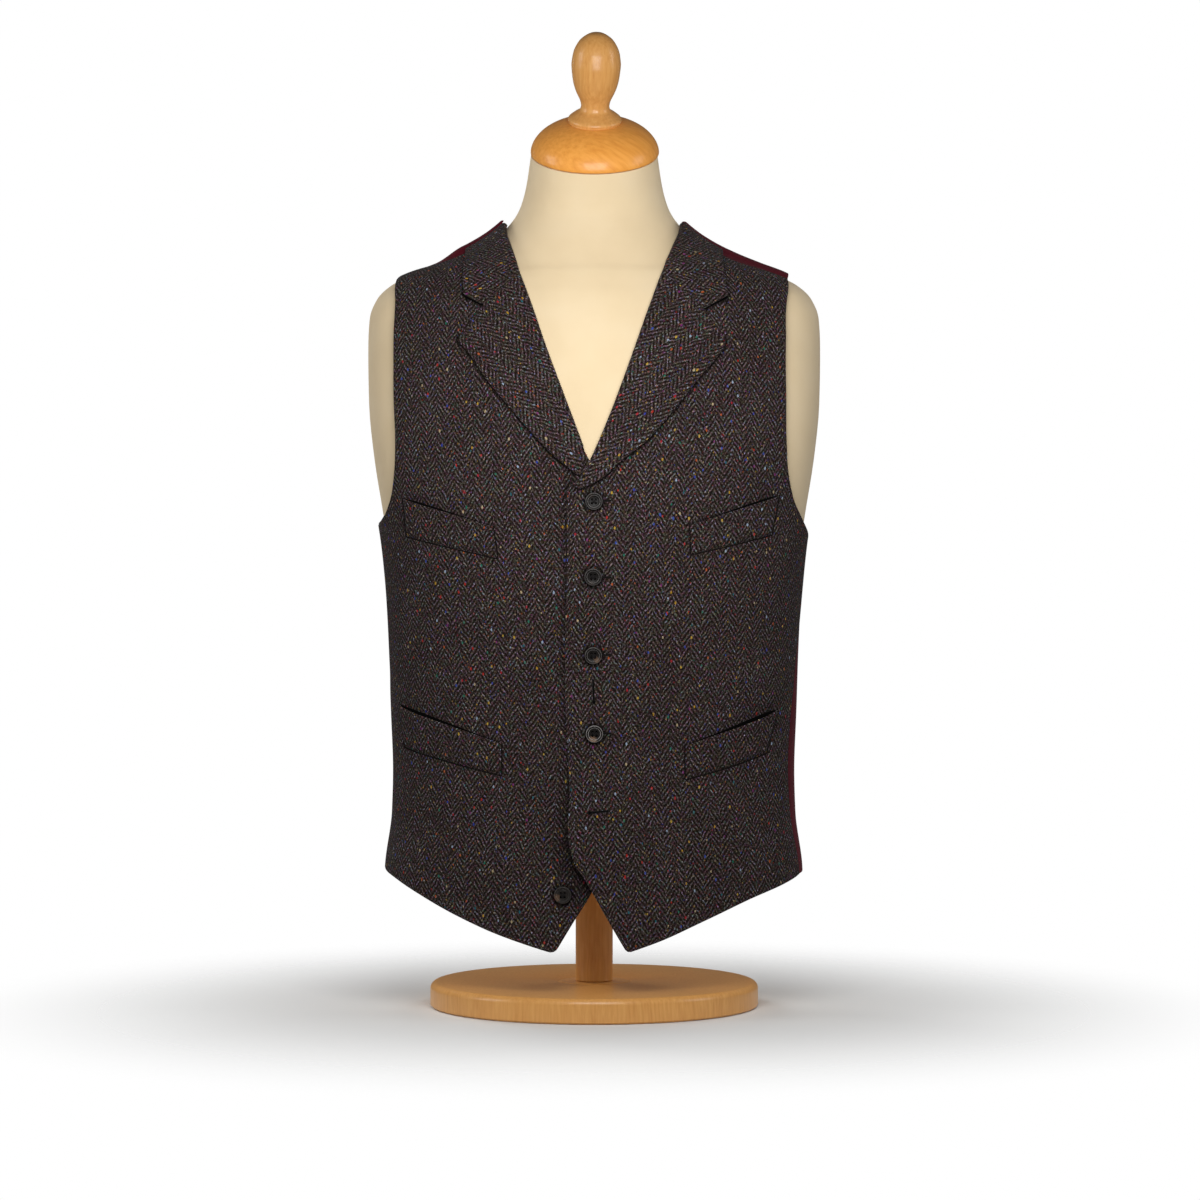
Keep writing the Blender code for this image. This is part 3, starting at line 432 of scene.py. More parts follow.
FLOOR_FADES = (0.16, 0.62)         # how far from the middle the floor starts to fade and has gone
FLOOR_REACH = 0.7
FLOOR_DOWN = 0.0004       # below the base
CAMERA_LENS = 102.3
CAMERA_FILM = 36.0
CAMERA_PLACE = (0.0053, -3.125, 0.3706)
AMBIENT = 0.09
# Lights: name, place, what it points at, width and height, watts, and whether gloss mirrors it
LIGHTS = (
    ("key", (0.02, -0.70, 0.645), (0.0, 0.0, 0.46), (0.45, 0.45), 4.9, True),
    ("left_side", (-2.2, -0.4, 1.05), (0.0, 0.0, 0.55), (0.8, 1.2), 13.0, True),
    ("right_side", (2.2, -0.4, 1.05), (0.0, 0.0, 0.55), (0.8, 1.2), 9.5, True),
    ("left_back", (-1.3, 1.7, 1.1), (0.0, 0.0, 0.45), (0.8, 1.0), 24.0, False),
    ("right_back", (1.3, 1.7, 1.1), (0.0, 0.0, 0.45), (0.8, 1.0), 14.0, False),
)

SKIN_ROWS = np.array(SKIN)
HEIGHTS = SKIN_ROWS[:, 0]


# ---------------------------------------------------------------- the skin
def smooth_slopes(heights, values):
    """Slopes that carry a smooth curve through the rows without overshooting."""
    steps = np.diff(heights)
    rises = np.diff(values) / steps
    slopes = np.zeros_like(values)
    for i in range(1, len(values) - 1):
        if rises[i - 1] * rises[i] > 0:
            low = 2 * steps[i] + steps[i - 1]
            high = steps[i] + 2 * steps[i - 1]
            slopes[i] = (low + high) / (low / rises[i - 1] + high / rises[i])
    slopes[0], slopes[-1] = rises[0], rises[-1]
    return slopes


SLOPES = np.array([smooth_slopes(HEIGHTS, SKIN_ROWS[:, k]) for k in range(1, 6)])


def blended(t, start, end, start_slope, end_slope):
    """A smooth curve from start to end, with a slope at each."""
    return ((2 * t**3 - 3 * t**2 + 1) * start + (t**3 - 2 * t**2 + t) * start_slope
            + (3 * t**2 - 2 * t**3) * end + (t**3 - t**2) * end_slope)


def ring(z):
    """Half width, front depth, back depth, centre in Y and squareness at the heights z."""
    z = np.clip(z, HEIGHTS[0], HEIGHTS[-1] - 1e-9)
    i = np.clip(np.searchsorted(HEIGHTS, z, side="right") - 1, 0, len(HEIGHTS) - 2)
    step = HEIGHTS[i + 1] - HEIGHTS[i]
    low, high = SKIN_ROWS[i, 1:6].T, SKIN_ROWS[i + 1, 1:6].T
    return blended((z - HEIGHTS[i]) / step, low, high, step * SLOPES[:, i], step * SLOPES[:, i + 1])


def level(points):
    """Zero on the skin, more outside it and less inside."""
    x, y, z = points.T
    width, front, back, centre, power = ring(z)
    depth = np.where(y < centre, front, back)
    return (np.abs(x / width)**power + np.abs((y - centre) / depth)**power)**(1 / power) - 1


def uphill(points):
    """The way that level() rises at each point."""
    steps = np.eye(3) * SLOPE_STEP
    return np.stack([level(points + s) - level(points - s) for s in steps], -1) / (2 * SLOPE_STEP)


def unit(vectors):
    """The vectors at length 1."""
    return vectors / np.linalg.norm(vectors, axis=-1, keepdims=True)


def onto_skin(points, out=0.0):
    """Points of any array shape moved onto the skin, then out along its normal."""
    shape = np.shape(points)
    points = np.array(points, float).reshape(-1, 3)
    for _ in range(SKIN_STEPS):
        slope = uphill(points)
        points = points - slope * (level(points) / np.sum(slope**2, -1))[:, None]
    out = np.broadcast_to(out, shape[:-1]).reshape(-1, 1)
    return (points + unit(uphill(points)) * out).reshape(shape)


def skin_normals(points):
    """The skin's outward direction at each point."""
    return unit(uphill(points.reshape(-1, 3))).reshape(points.shape)


def at_angle(degrees, z):
    """Skin point at an angle from the middle of the front, seen from above."""
    width, front, back, centre, power = ring(np.array([z]))[:, 0]
    across, ahead = math.sin(math.radians(degrees)), math.cos(math.radians(degrees))
    depth = front if ahead > 0 else back
    reach = (abs(across / width)**power + abs(ahead / depth)**power)**(-1 / power)
    return (reach * across, centre - reach * ahead, z)


def seen_from_front(x, z, side=-1):
    """Skin point at x and z, on the front, or on the back where side is 1."""
    width, front, back, centre, power = ring(np.array([z]))[:, 0]
    depth = front if side < 0 else back
    across = min(abs(x / width), 1.0)
    return (x, centre + side * depth * (1 - across**power)**(1 / power), z)


def seen_from_above(x, y):
    """Skin point over x and y, on the shoulders."""
    low, high = FORM_CLEAR_TO, HEIGHTS[-1]
    for _ in range(HALVINGS):
        z = (low + high) / 2
        inside = level(np.array([(x, y, z)]))[0] < 0
        low, high = (z, high) if inside else (low, z)
    return (x, y, low)


# ---------------------------------------------------------------- runs of points
def lengths_along(points):
    """How far along a run each of its points is."""
    return np.r_[0, np.cumsum(np.linalg.norm(np.diff(points, axis=0), axis=1))]


def curve(points):
    """Many points along a smooth curve on the skin through some points."""
    points = np.array(points, float)
    steps = np.linalg.norm(np.diff(points, axis=0), axis=1)[:, None]
    rates = np.diff(points, axis=0) / steps
    middle = (rates[:-1] * steps[1:] + rates[1:] * steps[:-1]) / (steps[1:] + steps[:-1])
    slopes = np.vstack([rates[:1], middle, rates[-1:]])
    t = np.linspace(0, 1, CURVE_STEPS, endpoint=False)[None, :, None]
    dense = blended(t, points[:-1, None], points[1:, None],
                    (slopes[:-1] * steps)[:, None], (slopes[1:] * steps)[:, None])
    return onto_skin(np.vstack([dense.reshape(-1, 3), points[-1:]]))


def spread(points, count):
    """Evenly spaced points, count steps of them, along a run of points."""
    points = np.array(points, float)
    lengths = lengths_along(points)
    stops = np.linspace(0, lengths[-1], count + 1)
    return np.stack([np.interp(stops, lengths, points[:, k]) for k in range(points.shape[1])], -1)


def joined(*runs):
    """Runs of points, each a pair of points and steps, end to end as one outline."""
    parts = [spread(points, steps) for points, steps in runs]
    return np.concatenate([parts[0]] + [part[1:] for part in parts[1:]])


def after(run, reach):
    """What is left of a run beyond a length."""
    lengths = lengths_along(run)
    start = [np.interp(reach, lengths, run[:, k]) for k in range(3)]
    return np.vstack([start, run[lengths > reach]])


def rounded(one, other, reach):
    """Two runs from one corner, which then start at the middle of a rounding of it."""
    corner, one, other = one[0], after(one, reach), after(other, reach)
    t = np.linspace(0.5, 1, 7)[:, None]
    into_one = (1 - t)**2 * other[0] + 2 * t * (1 - t) * corner + t**2 * one[0]
    into_other = (1 - t)**2 * one[0] + 2 * t * (1 - t) * corner + t**2 * other[0]
    return np.vstack([into_one, one[1:]]), np.vstack([into_other, other[1:]])


def beside(run, distance):
    """A run moved along the skin, to its right as seen from outside."""
    along = unit(np.gradient(run, axis=0))
    across = np.cross(along, skin_normals(run))
    return onto_skin(run + across * np.broadcast_to(distance, len(run))[:, None])


def steps_for(run, unit_steps):
    """How many steps a run takes, as a whole number of coarse steps."""
    return max(1, round(lengths_along(run)[-1] / CELL / unit_steps)) * unit_steps


# ---------------------------------------------------------------- nets
def patch(inner, outer, foot, top):
    """A net of points between four outlines: rows go up and columns go outwards."""
    v = np.linspace(0, 1, len(inner))[:, None, None]
    u = np.linspace(0, 1, len(foot))[None, :, None]
    sides = (1 - u) * inner[:, None] + u * outer[:, None]
    ends = (1 - v) * foot[None] + v * top[None]
    corners = ((1 - u) * (1 - v) * foot[0] + u * (1 - v) * foot[-1]
               + (1 - u) * v * top[0] + u * v * top[-1])
    return sides + ends - corners


def relaxed(net):
    """A net whose inner points are evened out along the skin."""
    net = net.copy()
    for _ in range(RELAX_ROUNDS):
        around = net[:-2, 1:-1] + net[2:, 1:-1] + net[1:-1, :-2] + net[1:-1, 2:]
        net[1:-1, 1:-1] = onto_skin(around / 4)
    return net


def refined(values, steps):
    """Values with several steps for each one along their first axis, on a smooth curve."""
    ends = np.concatenate([2 * values[:1] - values[1:2], values, 2 * values[-1:] - values[-2:-1]])
    t = (np.arange(steps) / steps).reshape((1, steps) + (1,) * (values.ndim - 1))
    slopes = (ends[2:] - ends[:-2]) / 2
    dense = blended(t, values[:-1, None], values[1:, None], slopes[:-1, None], slopes[1:, None])
    return np.concatenate([dense.reshape((-1,) + values.shape[1:]), values[-1:]])


def refined_both(net, steps):
    """A net with several steps for each one both ways."""
    return refined(refined(net, steps).swapaxes(0, 1), steps).swapaxes(0, 1)


def net_between(inner, outer, foot, top, coarse=COARSE):
    """A fine net between four outlines, evened out on a coarse net first."""
    rough = relaxed(onto_skin(patch(inner, outer, foot, top)[::coarse, ::coarse]))
    smooth = refined_both(rough, coarse)
    back = patch(inner - smooth[:, 0], outer - smooth[:, -1], foot - smooth[0], top - smooth[-1])
    return onto_skin(smooth + back)


def flattened(net, coarse=COARSE):
    """The net laid flat with its lengths kept: the shape that the piece is cut to."""
    rough = net[::coarse, ::coarse]
    rows, columns = rough.shape[:2]
    climbs = np.linalg.norm(np.diff(rough, axis=0), axis=-1)
    heights = rough[0, :, 2] + np.concatenate([np.zeros((1, columns)), np.cumsum(climbs, axis=0)])
    widths = np.linalg.norm(np.diff(rough[..., :2], axis=1), axis=-1)
    outwards = np.sign(np.sum(rough[:, -1, 0] - rough[:, 0, 0]))
    reach = np.concatenate([np.zeros((rows, 1)), np.cumsum(widths, axis=1)], axis=1)
    flat = np.stack([rough[:, :1, 0] + outwards * reach, heights], -1)
    pulls = []
    for down, right in ((1, 0), (0, 1), (1, 1), (1, -1)):
        from_column, to_column = max(0, -right), columns - max(0, right)
        here = (slice(0, rows - down), slice(from_column, to_column))
        there = (slice(down, rows), slice(from_column + right, to_column + right))
        pulls.append((here, there, np.linalg.norm(rough[there] - rough[here], axis=-1)))
    for _ in range(FLAT_ROUNDS):
        moves = np.zeros_like(flat)
        for here, there, length in pulls:
            gaps = flat[there] - flat[here]
            change = gaps * (1 - length / np.linalg.norm(gaps, axis=-1))[..., None] / 2
            moves[here] += change
            moves[there] -= change
        flat += moves * FLAT_PULL
    return refined_both(flat, coarse)


def with_grain(flat, aim, chosen, turn=0.0):
    """The flat piece turned so that its chosen points lie as in aim, then by turn degrees."""
    ours, theirs = flat[chosen], aim[chosen]
    middle, target = ours.mean(0), theirs.mean(0)
    both = (ours - middle).T @ (theirs - target)
    angle = math.atan2(both[0, 1] - both[1, 0], both[0, 0] + both[1, 1]) + math.radians(turn)
    spin = np.array(((math.cos(angle), math.sin(angle)), (-math.sin(angle), math.cos(angle))))
    return (flat - middle) @ spin + target


# ---------------------------------------------------------------- how far cloth stands off
def fade(value, start, end):
    """1 at start, 0 at end and smooth between."""
    t = np.clip((value - end) / (start - end), 0, 1)
    return t * t * (3 - 2 * t)


def crease_height(points, creases):
    """Sum of soft ridges and troughs, each along a line in x and height."""
    x, z = points[..., 0], points[..., 2]
    total = np.zeros(x.shape)
    for (x0, z0), (x1, z1), width, height in creases:
        run, rise = x1 - x0, z1 - z0
        length = math.hypot(run, rise)
        along = ((x - x0) * run + (z - z0) * rise) / length**2
        off = ((z - z0) * run - (x - x0) * rise) / length
        nearest = np.clip(along, 0, 1)
        beyond = (along - nearest) * length
        swell = np.sin(math.pi * (CREASE_END + (1 - 2 * CREASE_END) * nearest))
        total += height * swell * np.exp(-(off**2 + beyond**2) / width**2)
    return total


def mouth_height(points):
    """How far a front dips at its pockets' mouths."""
    x, z = points[..., 0], points[..., 2]
    total = np.zeros(x.shape)
    for _, _, _, (x1, z1), (x0, z0), gape in WELTS:
        along = (x - x0) / (x1 - x0)
        edge = z0 + (z1 - z0) * along
        along = np.clip(along, 0, 1)
        inside = np.sin(math.pi * along)**DIP_FULL * (DIP_INNER + (1 - DIP_INNER) * along)
        above = fade(z - edge, 0.0, MOUTH_ABOVE)
        below = fade(edge - z, MOUTH_BELOW / 2, MOUTH_BELOW)
        total -= gape * inside * np.where(z > edge, above, below)
    return total


def button_dimples(points):
    """How far the top front is pulled in round its fastened buttons."""
    total = np.zeros(points.shape[:-1])
    for _, x, z, half, *_ in BUTTONS:
        if half is LEFT:
            away = np.hypot(points[..., 0] - x, points[..., 2] - z)
            total -= DIMPLE * np.exp(-(away / DIMPLE_REACH)**2)
    return total


def front_lift(points, half):
    """How far a front's middle stands off the skin."""
    near = fade(np.abs(points[..., 0]), OVERLAP_REACH, LIFT_FADES)
    creases = crease_height(points, FRONT_CREASES) * (points[..., 1] < 0)
    if half is RIGHT:
        trough = fade(np.abs(points[..., 0] - TROUGH_X), *TROUGH_SPAN)
        trough = trough * fade(points[..., 2], *TROUGH_TOP)
        return creases - OVERLAP_LIFT * near - EDGE_TROUGH * trough
    loose = fade(points[..., 2], HEM_LIFT_FULL, HEM_LIFT_STARTS)
    return creases + (OVERLAP_LIFT + HEM_LIFT * loose) * near + button_dimples(points)


def panel_lift(points, half):
    """A front's own lift with its dips at the pocket mouths."""
    return front_lift(points, half) + mouth_height(points) * (points[..., 1] < 0)


def facing_lift(points, half):
    """Lift of what lies on a front."""
    return front_lift(points, half) + TWEED / 2 + LAYER_GAP + FACING / 2


def back_lift(points):
    """How far the back's middle stands off the skin, with its loose cloth behind the shoulders."""
    x, y, z = np.moveaxis(points, -1, 0)
    puff = np.where(x > 0, LEFT.puff, RIGHT.puff) * fade(y, *PUFF_AHEAD) * fade(y, *PUFF_BEHIND)
    puff = puff * fade(z, *PUFF_DOWN) * np.where(x > 0, 1, fade(-x, *PUFF_ENDS))
    return crease_height(points, BACK_CREASES) * (y > 0) + puff + (SATIN - TWEED) / 2


def edge_shade(points, lines):
    """1 at the edges of what lies on the cloth, and 0 and below away from them.

    lines has a run of points for each edge, the side of it that shows, how far it shades
    and how strongly.
    """
    flat = points.reshape(-1, 3)
    most = np.full(len(flat), -1.0)
    for run, side, reach, strength in lines:
        showing = side * unit(np.cross(unit(np.gradient(run, axis=0)), skin_normals(run)))
        away = np.full(len(flat), np.inf)
        nearest = np.zeros(len(flat), int)
        for k, place in enumerate(run):
            gap = np.linalg.norm(flat - place, axis=1)
            nearest[gap < away] = k
            away = np.minimum(away, gap)
        shows = np.sum((flat - run[nearest]) * showing[nearest], axis=1) > 0
        share = away / np.broadcast_to(reach, len(run))[nearest]
        covered = np.minimum(1 + share, 2 * COVERED_SHADE - 1 - share)
        value = np.where(shows, 1 - share, covered) * np.broadcast_to(strength, len(run))[nearest]
        most = np.maximum(most, value)
    return most.reshape(points.shape[:-1])


def edges_on(half):
    """The edges that lie on one front, for its shade."""
    side = half.side
    lines = [(spread(drawn(row), 90), side, EDGE_SHADE, 1.0)
             for row in (half.lapel_edge, half.collar_end, half.collar_edge)]
    for _, x, z, owner, *_ in BUTTONS:
        if owner is half:
            circle = drawn_round(x, z, BUTTON_RADIUS, 41)
            lines.append((circle, 1, BUTTON_SHADE, 1.0))
    for _, _, _, outer_top, inner_top, _ in WELTS:
        if half_at(inner_top) is half:
            reach = np.linspace(*MOUTH_SHADE, RUN_STEPS + 1)
            ends = fade(np.linspace(0, 1, RUN_STEPS + 1), MOUTH_SHADE_END, 1.0)
            strength = MOUTH_STRENGTH * ends * reach / MOUTH_SHADE[1]
            lines.append((spread(drawn([inner_top, outer_top]), RUN_STEPS), -side, reach, strength))
    if half is RIGHT:
        closing = spread(drawn(LEFT.front_edge), 300)
        low = fade(closing[:, 2], *HEM_SHADE_SPAN)
        strength = CLOSING_STRENGTH[0] + (CLOSING_STRENGTH[1] - CLOSING_STRENGTH[0]) * low
        lines.append((closing, -1, CLOSING_SHADE + (HEM_SHADE - CLOSING_SHADE) * low, strength))
    return lines


def drawn_round(x, z, radius, count):
    """Points on the front of the skin round a circle."""
    turns = np.linspace(0, 2 * math.pi, count)
    around = [(x + radius * math.cos(a), z + radius * math.sin(a)) for a in turns]
    return np.array([seen_from_front(*place) for place in around])


def half_at(place):
    """The half of the waistcoat that a place, x and height, is on."""
    return LEFT if place[0] > 0 else RIGHT


# ---------------------------------------------------------------- shells
def surface_normals(middle, outwards):
    """Unit normals of a net, on the side that outwards points to, and if they were flipped."""
    normals = unit(np.cross(np.gradient(middle, axis=1), np.gradient(middle, axis=0)))
    flipped = np.sum(normals * outwards) < 0
    return (-normals if flipped else normals), flipped


def border(rows, columns):
    """Row and column of each point round a net, and of the inner point next to it."""
    places = [(0, j) for j in range(columns)] + [(i, columns - 1) for i in range(1, rows)]
    places += [(rows - 1, j) for j in range(columns - 2, -1, -1)]
    places += [(i, 0) for i in range(rows - 2, 0, -1)]
    places = np.array(places)
    return places, np.clip(places, 1, (rows - 2, columns - 2))


def shell(name, middle, outwards, weave, thickness, bulges=(1, 1, 1, 1), lining_from=None,
          shade=None):
    """A closed shell of cloth round a net of its middle, with rolled rims.

    weave is the flat place of each point. bulges says how round the rim is at the foot, the
    outer side, the top and the inner side: 1 is half a circle, and less suits a seam. Faces of
    the inner side more than lining_from steps from the rim take the second material. shade
    says for each point how strong the painted shade on the cloth is there.
    """
    rows, columns = middle.shape[:2]
    middle, weave = middle.copy(), weave.copy()
    normals, flipped = surface_normals(middle, outwards)
    (i, j), (k, m) = (pair.T for pair in border(rows, columns))
    across = middle[i, j] - middle[k, m]
    across = unit(across - normals[i, j] * np.sum(across * normals[i, j], -1, keepdims=True))
    along = np.roll(middle[i, j], -1, axis=0) - np.roll(middle[i, j], 1, axis=0)
    square = unit(np.cross(along, normals[i, j]))
    square *= np.sign(np.sum(square * across, -1, keepdims=True))
    counts = (columns, rows - 1, columns - 1, rows - 2)
    reach = thickness / 2 * np.repeat(np.array(bulges, float), counts)[:, None]
    middle[i, j] -= square * reach
    cut = unit(weave[i, j] - weave[k, m])
    outer, inner = middle + normals * thickness / 2, middle - normals * thickness / 2
    rims, rim_weaves = [], []
    for step in range(1, RIM_SIDES):
        turn = math.pi * step / RIM_SIDES
        up = normals[i, j] * thickness / 2 * math.cos(turn)
        rims.append(middle[i, j] + up + square * reach * math.sin(turn))
        rim_weaves.append(weave[i, j] + cut * thickness / 2 * turn)
    points = np.concatenate([outer.reshape(-1, 3), inner.reshape(-1, 3), *rims])
    places = np.concatenate([weave.reshape(-1, 2), weave.reshape(-1, 2), *rim_weaves])

    grid = np.arange(rows * columns).reshape(rows, columns)
    quads = np.stack([grid[:-1, :-1], grid[:-1, 1:], grid[1:, 1:], grid[1:, :-1]], -1).reshape(-1, 4)
    under = quads[:, ::-1] + rows * columns
    around = grid[i, j]
    start = 2 * rows * columns
    each = np.arange(len(around))
    rings = [around] + [start + len(around) * n + each for n in range(RIM_SIDES - 1)]
    rings.append(around + rows * columns)
    strips = [np.stack([upper, lower, np.roll(lower, -1), np.roll(upper, -1)], -1)
              for upper, lower in zip(rings, rings[1:])]
    faces = np.concatenate([quads, under, *strips])
    if flipped:
        faces = faces[:, ::-1]
    piece = mesh_object(name, points, faces, places)
    if lining_from is not None:
        down, right = np.unravel_index(np.arange(len(quads)), (rows - 1, columns - 1))
        edge = np.minimum.reduce([down, right, rows - 2 - down, columns - 2 - right])
        slots = np.zeros(len(faces), int)
        slots[len(quads):2 * len(quads)] = edge >= lining_from
        piece.data.polygons.foreach_set("material_index", slots.astype(np.int32))
    if shade is not None:
        rim_shades = [shade[i, j]] * (RIM_SIDES - 1)
        values = np.concatenate([shade.ravel(), np.full(shade.size, -1.0), *rim_shades])
        held = piece.data.attributes.new("shade", "FLOAT", "POINT")
        held.data.foreach_set("value", values.astype(np.float32))
    return piece


def mesh_object(name, points, faces, places=None):
    """A smooth object from points and faces, with its flat places as the weave map."""
    mesh = bpy.data.meshes.new(name)
    mesh.from_pydata(np.asarray(points).tolist(), [], [list(map(int, face)) for face in faces])
    if places is not None:
        corners = np.zeros(len(mesh.loops), np.int32)
        mesh.loops.foreach_get("vertex_index", corners)
        weave = mesh.uv_layers.new(name="weave")
        weave.data.foreach_set("uv", places[corners].astype(np.float32).ravel())
    mesh.shade_smooth()
    mesh.update()
    return shown(name, mesh)


def shown(name, data):
    """An object of some mesh, lamp or camera, put in the scene."""
    made = bpy.data.objects.new(name, data)
    bpy.context.scene.collection.objects.link(made)
    return made


def object_of(name, bm):
    """A smooth object of an edited mesh, which is then let go."""
    mesh = bpy.data.meshes.new(name)
    bm.to_mesh(mesh)
    bm.free()
    mesh.shade_smooth()
    return shown(name, mesh)


def finish(piece, node, slot, *materials):
    """Gives a piece its materials, hangs it under the root and hides the solid that it stands for, if
    any.
    """
    for made in materials:
        piece.data.materials.append(made)
    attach(piece, "root")
    if node:
        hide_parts(node)
    return piece


# ---------------------------------------------------------------- the waistcoat's cloth
def drawn(places):
    """A smooth run on the front of the skin through places given as x and height."""
    return curve([seen_from_front(*place) for place in places])


def roll_turn(run, half):
    """How far round the front's edge the cloth turns at each point, in radians."""
    return np.radians(ROLL_ARC) * fade(run[:, 2], half.roll_starts + ROLL_FADE, half.roll_starts)


def turned_back(run, end, half):
    """A neckline or roll line moved back to leave room for the roll, and its trimmed end run."""
    inset = ROLL_INSET * np.sin(np.minimum(roll_turn(run, half), math.pi / 2))
    moved = beside(run, inset * half.side)
    end = after(end, ROLL_INSET)
    left = lengths_along(moved)[-1] - lengths_along(moved)
    return moved + (end[0] - moved[-1]) * fade(left, 0.0, END_BLEND)[:, None], end


def make_front(half, made):
    """One front, from the hem to the shoulder seam; gives its net and its weave."""
    top = curve([seen_from_above(*place) for place in half.shoulder])
    seam = curve([at_angle(angle, z) for z, angle in half.side_seam])
    hem = curve([seen_from_front(*place) for place in half.hem] + [seam[0]])
    neckline = curve([seen_from_front(*place) for place in half.neckline] + [top[0]])
    armhole = curve([seam[-1]] + [seen_from_front(*place) for place in half.armhole] + [top[-1]])
    neckline, top = turned_back(neckline, top, half)
    edge, hem = rounded(drawn(half.front_edge), hem, half.tip_round)
    low, high, across = (steps_for(run, COARSE) for run in (edge, neckline, hem))
    net = net_between(inner=joined((edge, low), (neckline, high)),
                      outer=joined((seam, low), (armhole, high)),
                      foot=spread(hem, across), top=spread(top, across))
    level_part = (np.abs(net[..., 0]) < 0.09) & (net[..., 2] < 0.5)
    weave = with_grain(flattened(net), net[..., ::2], level_part)
    piece = shell(half.front, onto_skin(net, panel_lift(net, half)), skin_normals(net), weave, TWEED,
                  (1, 1, SEAM_BULGE, 1), FACING_STEPS, edge_shade(net, edges_on(half)))
    finish(piece, half.front, "tweed", made["tweed"], made["lining"])
    return net, weave


def make_back(half, made):
    """Half of the back, from the centre seam to the side seam, armhole and shoulder."""
    name, side = "back_" + half.word, half.side
    shoulder = [np.array(seen_from_above(*place)) + (0.0, SEAM_GAP, 0.0) for place in half.shoulder]
    turn = side * math.degrees(SEAM_GAP / SKIN_ROWS[0, 1])
    shift = np.array((side * SEAM_GAP / 2, 0.0, 0.0))
    heights = np.linspace(BACK_HEM[0][1], BACK_NECKLINE[0][1], 13)
    centre = curve([np.array(at_angle(180.0, z)) + shift for z in heights])
    seam = curve([at_angle(angle + turn, z) for z, angle in half.side_seam])
    hem = curve([centre[0]] + [at_angle(side * angle, z) for angle, z in BACK_HEM[1:]] + [seam[0]])
    top = curve(shoulder)
    neckline = [centre[-1]] + [at_angle(side * angle, z) for angle, z in BACK_NECKLINE[1:]]
    neckline = curve(neckline + [top[0]])
    armhole = [seam[-1]] + [seen_from_front(side * x, z, 1) for x, z in BACK_ARMHOLE]
    armhole += [seen_from_above(side * x, y) for x, y in BACK_ARMHOLE_TOP]
    armhole = curve(armhole + [top[-1]])
    low, high, near, far = (steps_for(run, COARSE) for run in (seam, armhole, neckline, top))
    net = net_between(inner=spread(centre, low + high),
                      outer=joined((seam, low), (armhole, high)),
                      foot=spread(hem, near + far),
                      top=joined((neckline, near), (top, far)))
    weave = with_grain(flattened(net), net[..., ::2], np.abs(net[..., 0]) < 0.06)
    piece = shell(name, onto_skin(net, back_lift(net)), skin_normals(net), weave, SATIN,
                  (1, 1, SEAM_BULGE, SEAM_BULGE))
    finish(piece, name, "satin", made["satin"])


def make_seam_tape(half, made):
    """Cloth behind the foot of a side seam, below the form, where the seam would let light through."""
    (foot, angle), (high, high_angle) = half.side_seam[:2]
    heights = np.linspace(foot + TAPE_CLEAR, FORM_BOTTOM - TAPE_CLEAR, 9)
    angles = np.interp(heights, (foot, high), (angle, high_angle))
    sides = []
    for turn in (-TAPE_HALF, TAPE_HALF):
        run = np.array([at_angle(middle + turn, z) for middle, z in zip(angles, heights)])
        sides.append(onto_skin(run, -TWEED / 2 - TAPE_BEHIND))
    finish(mesh_object("seam_tape_" + half.word, *ribbon(sides)), None, "satin", made["lining"])


def rolled_under(net, middle, weave, half):
    """A lapel's or collar's net with the columns that turn under the front's edge."""
    base = net[:, 0]
    normals = skin_normals(base)
    hearts = onto_skin(base, front_lift(base, half))
    opening = -half.side * unit(np.cross(unit(np.gradient(base, axis=0)), normals))
    shares = np.linspace(1, 0, ROLL_STEPS, endpoint=False)[None, :, None]
    turns = np.maximum(roll_turn(base, half), LEAST_ROLL)[:, None, None] * shares
    arcs = normals[:, None] * np.cos(turns) + opening[:, None] * np.sin(turns)
    wraps = hearts[:, None] + arcs * ROLL_RADIUS
    outwards = np.concatenate([arcs, skin_normals(net)], axis=1)
    further = weave[:, :1] + unit(weave[:, :1] - weave[:, 1:2]) * turns * ROLL_RADIUS
    return (np.concatenate([wraps, middle], axis=1), outwards,
            np.concatenate([further, weave], axis=1))


def facing_swell(net, part):
    """How a lapel or collar bulges and springs from the front under it."""
    across = np.linspace(0, 1, net.shape[1])[None]
    along = np.linspace(0, 1, net.shape[0])[:, None]
    if part == "lapel":
        belly = LAPEL_BELLY * np.sin(math.pi * across) * np.sin(math.pi * along)**LAPEL_FULL
        share, waves, start = SPRING_WAVE
        uneven = 1 - share + share * np.sin(waves * along + start)
        return belly + LAPEL_SPRING * across**3 * uneven * fade(along, SPRING_FROM, 0.0)
    belly = LAPEL_BELLY * np.sin(math.pi * across) * np.sin(math.pi * along)
    return belly * COLLAR_BELLY + LAPEL_SPRING * across**3 * fade(along, COLLAR_SPRING_TO, 1.0)


def make_facing(part, half, sides, turn, bulges, made):
    """A lapel or one end of the collar, lying on its front and rolled under its edge."""
    name = part + "_" + half.word
    net = net_between(*sides, FINE)
    aim = net[..., ::2]
    weave = with_grain(flattened(net, FINE), aim, np.ones(aim.shape[:2], bool), turn)
    fuller = (LAPEL_THICK - FACING) / 2 * np.linspace(0, 1, net.shape[1])**0.5
    middle = onto_skin(net, facing_lift(net, half) + facing_swell(net, part) + fuller)
    middle, outwards, weave = rolled_under(net, middle, weave, half)
    piece = shell(name, middle, outwards, weave, FACING, bulges)
    finish(piece, name, "tweed", made["tweed"])


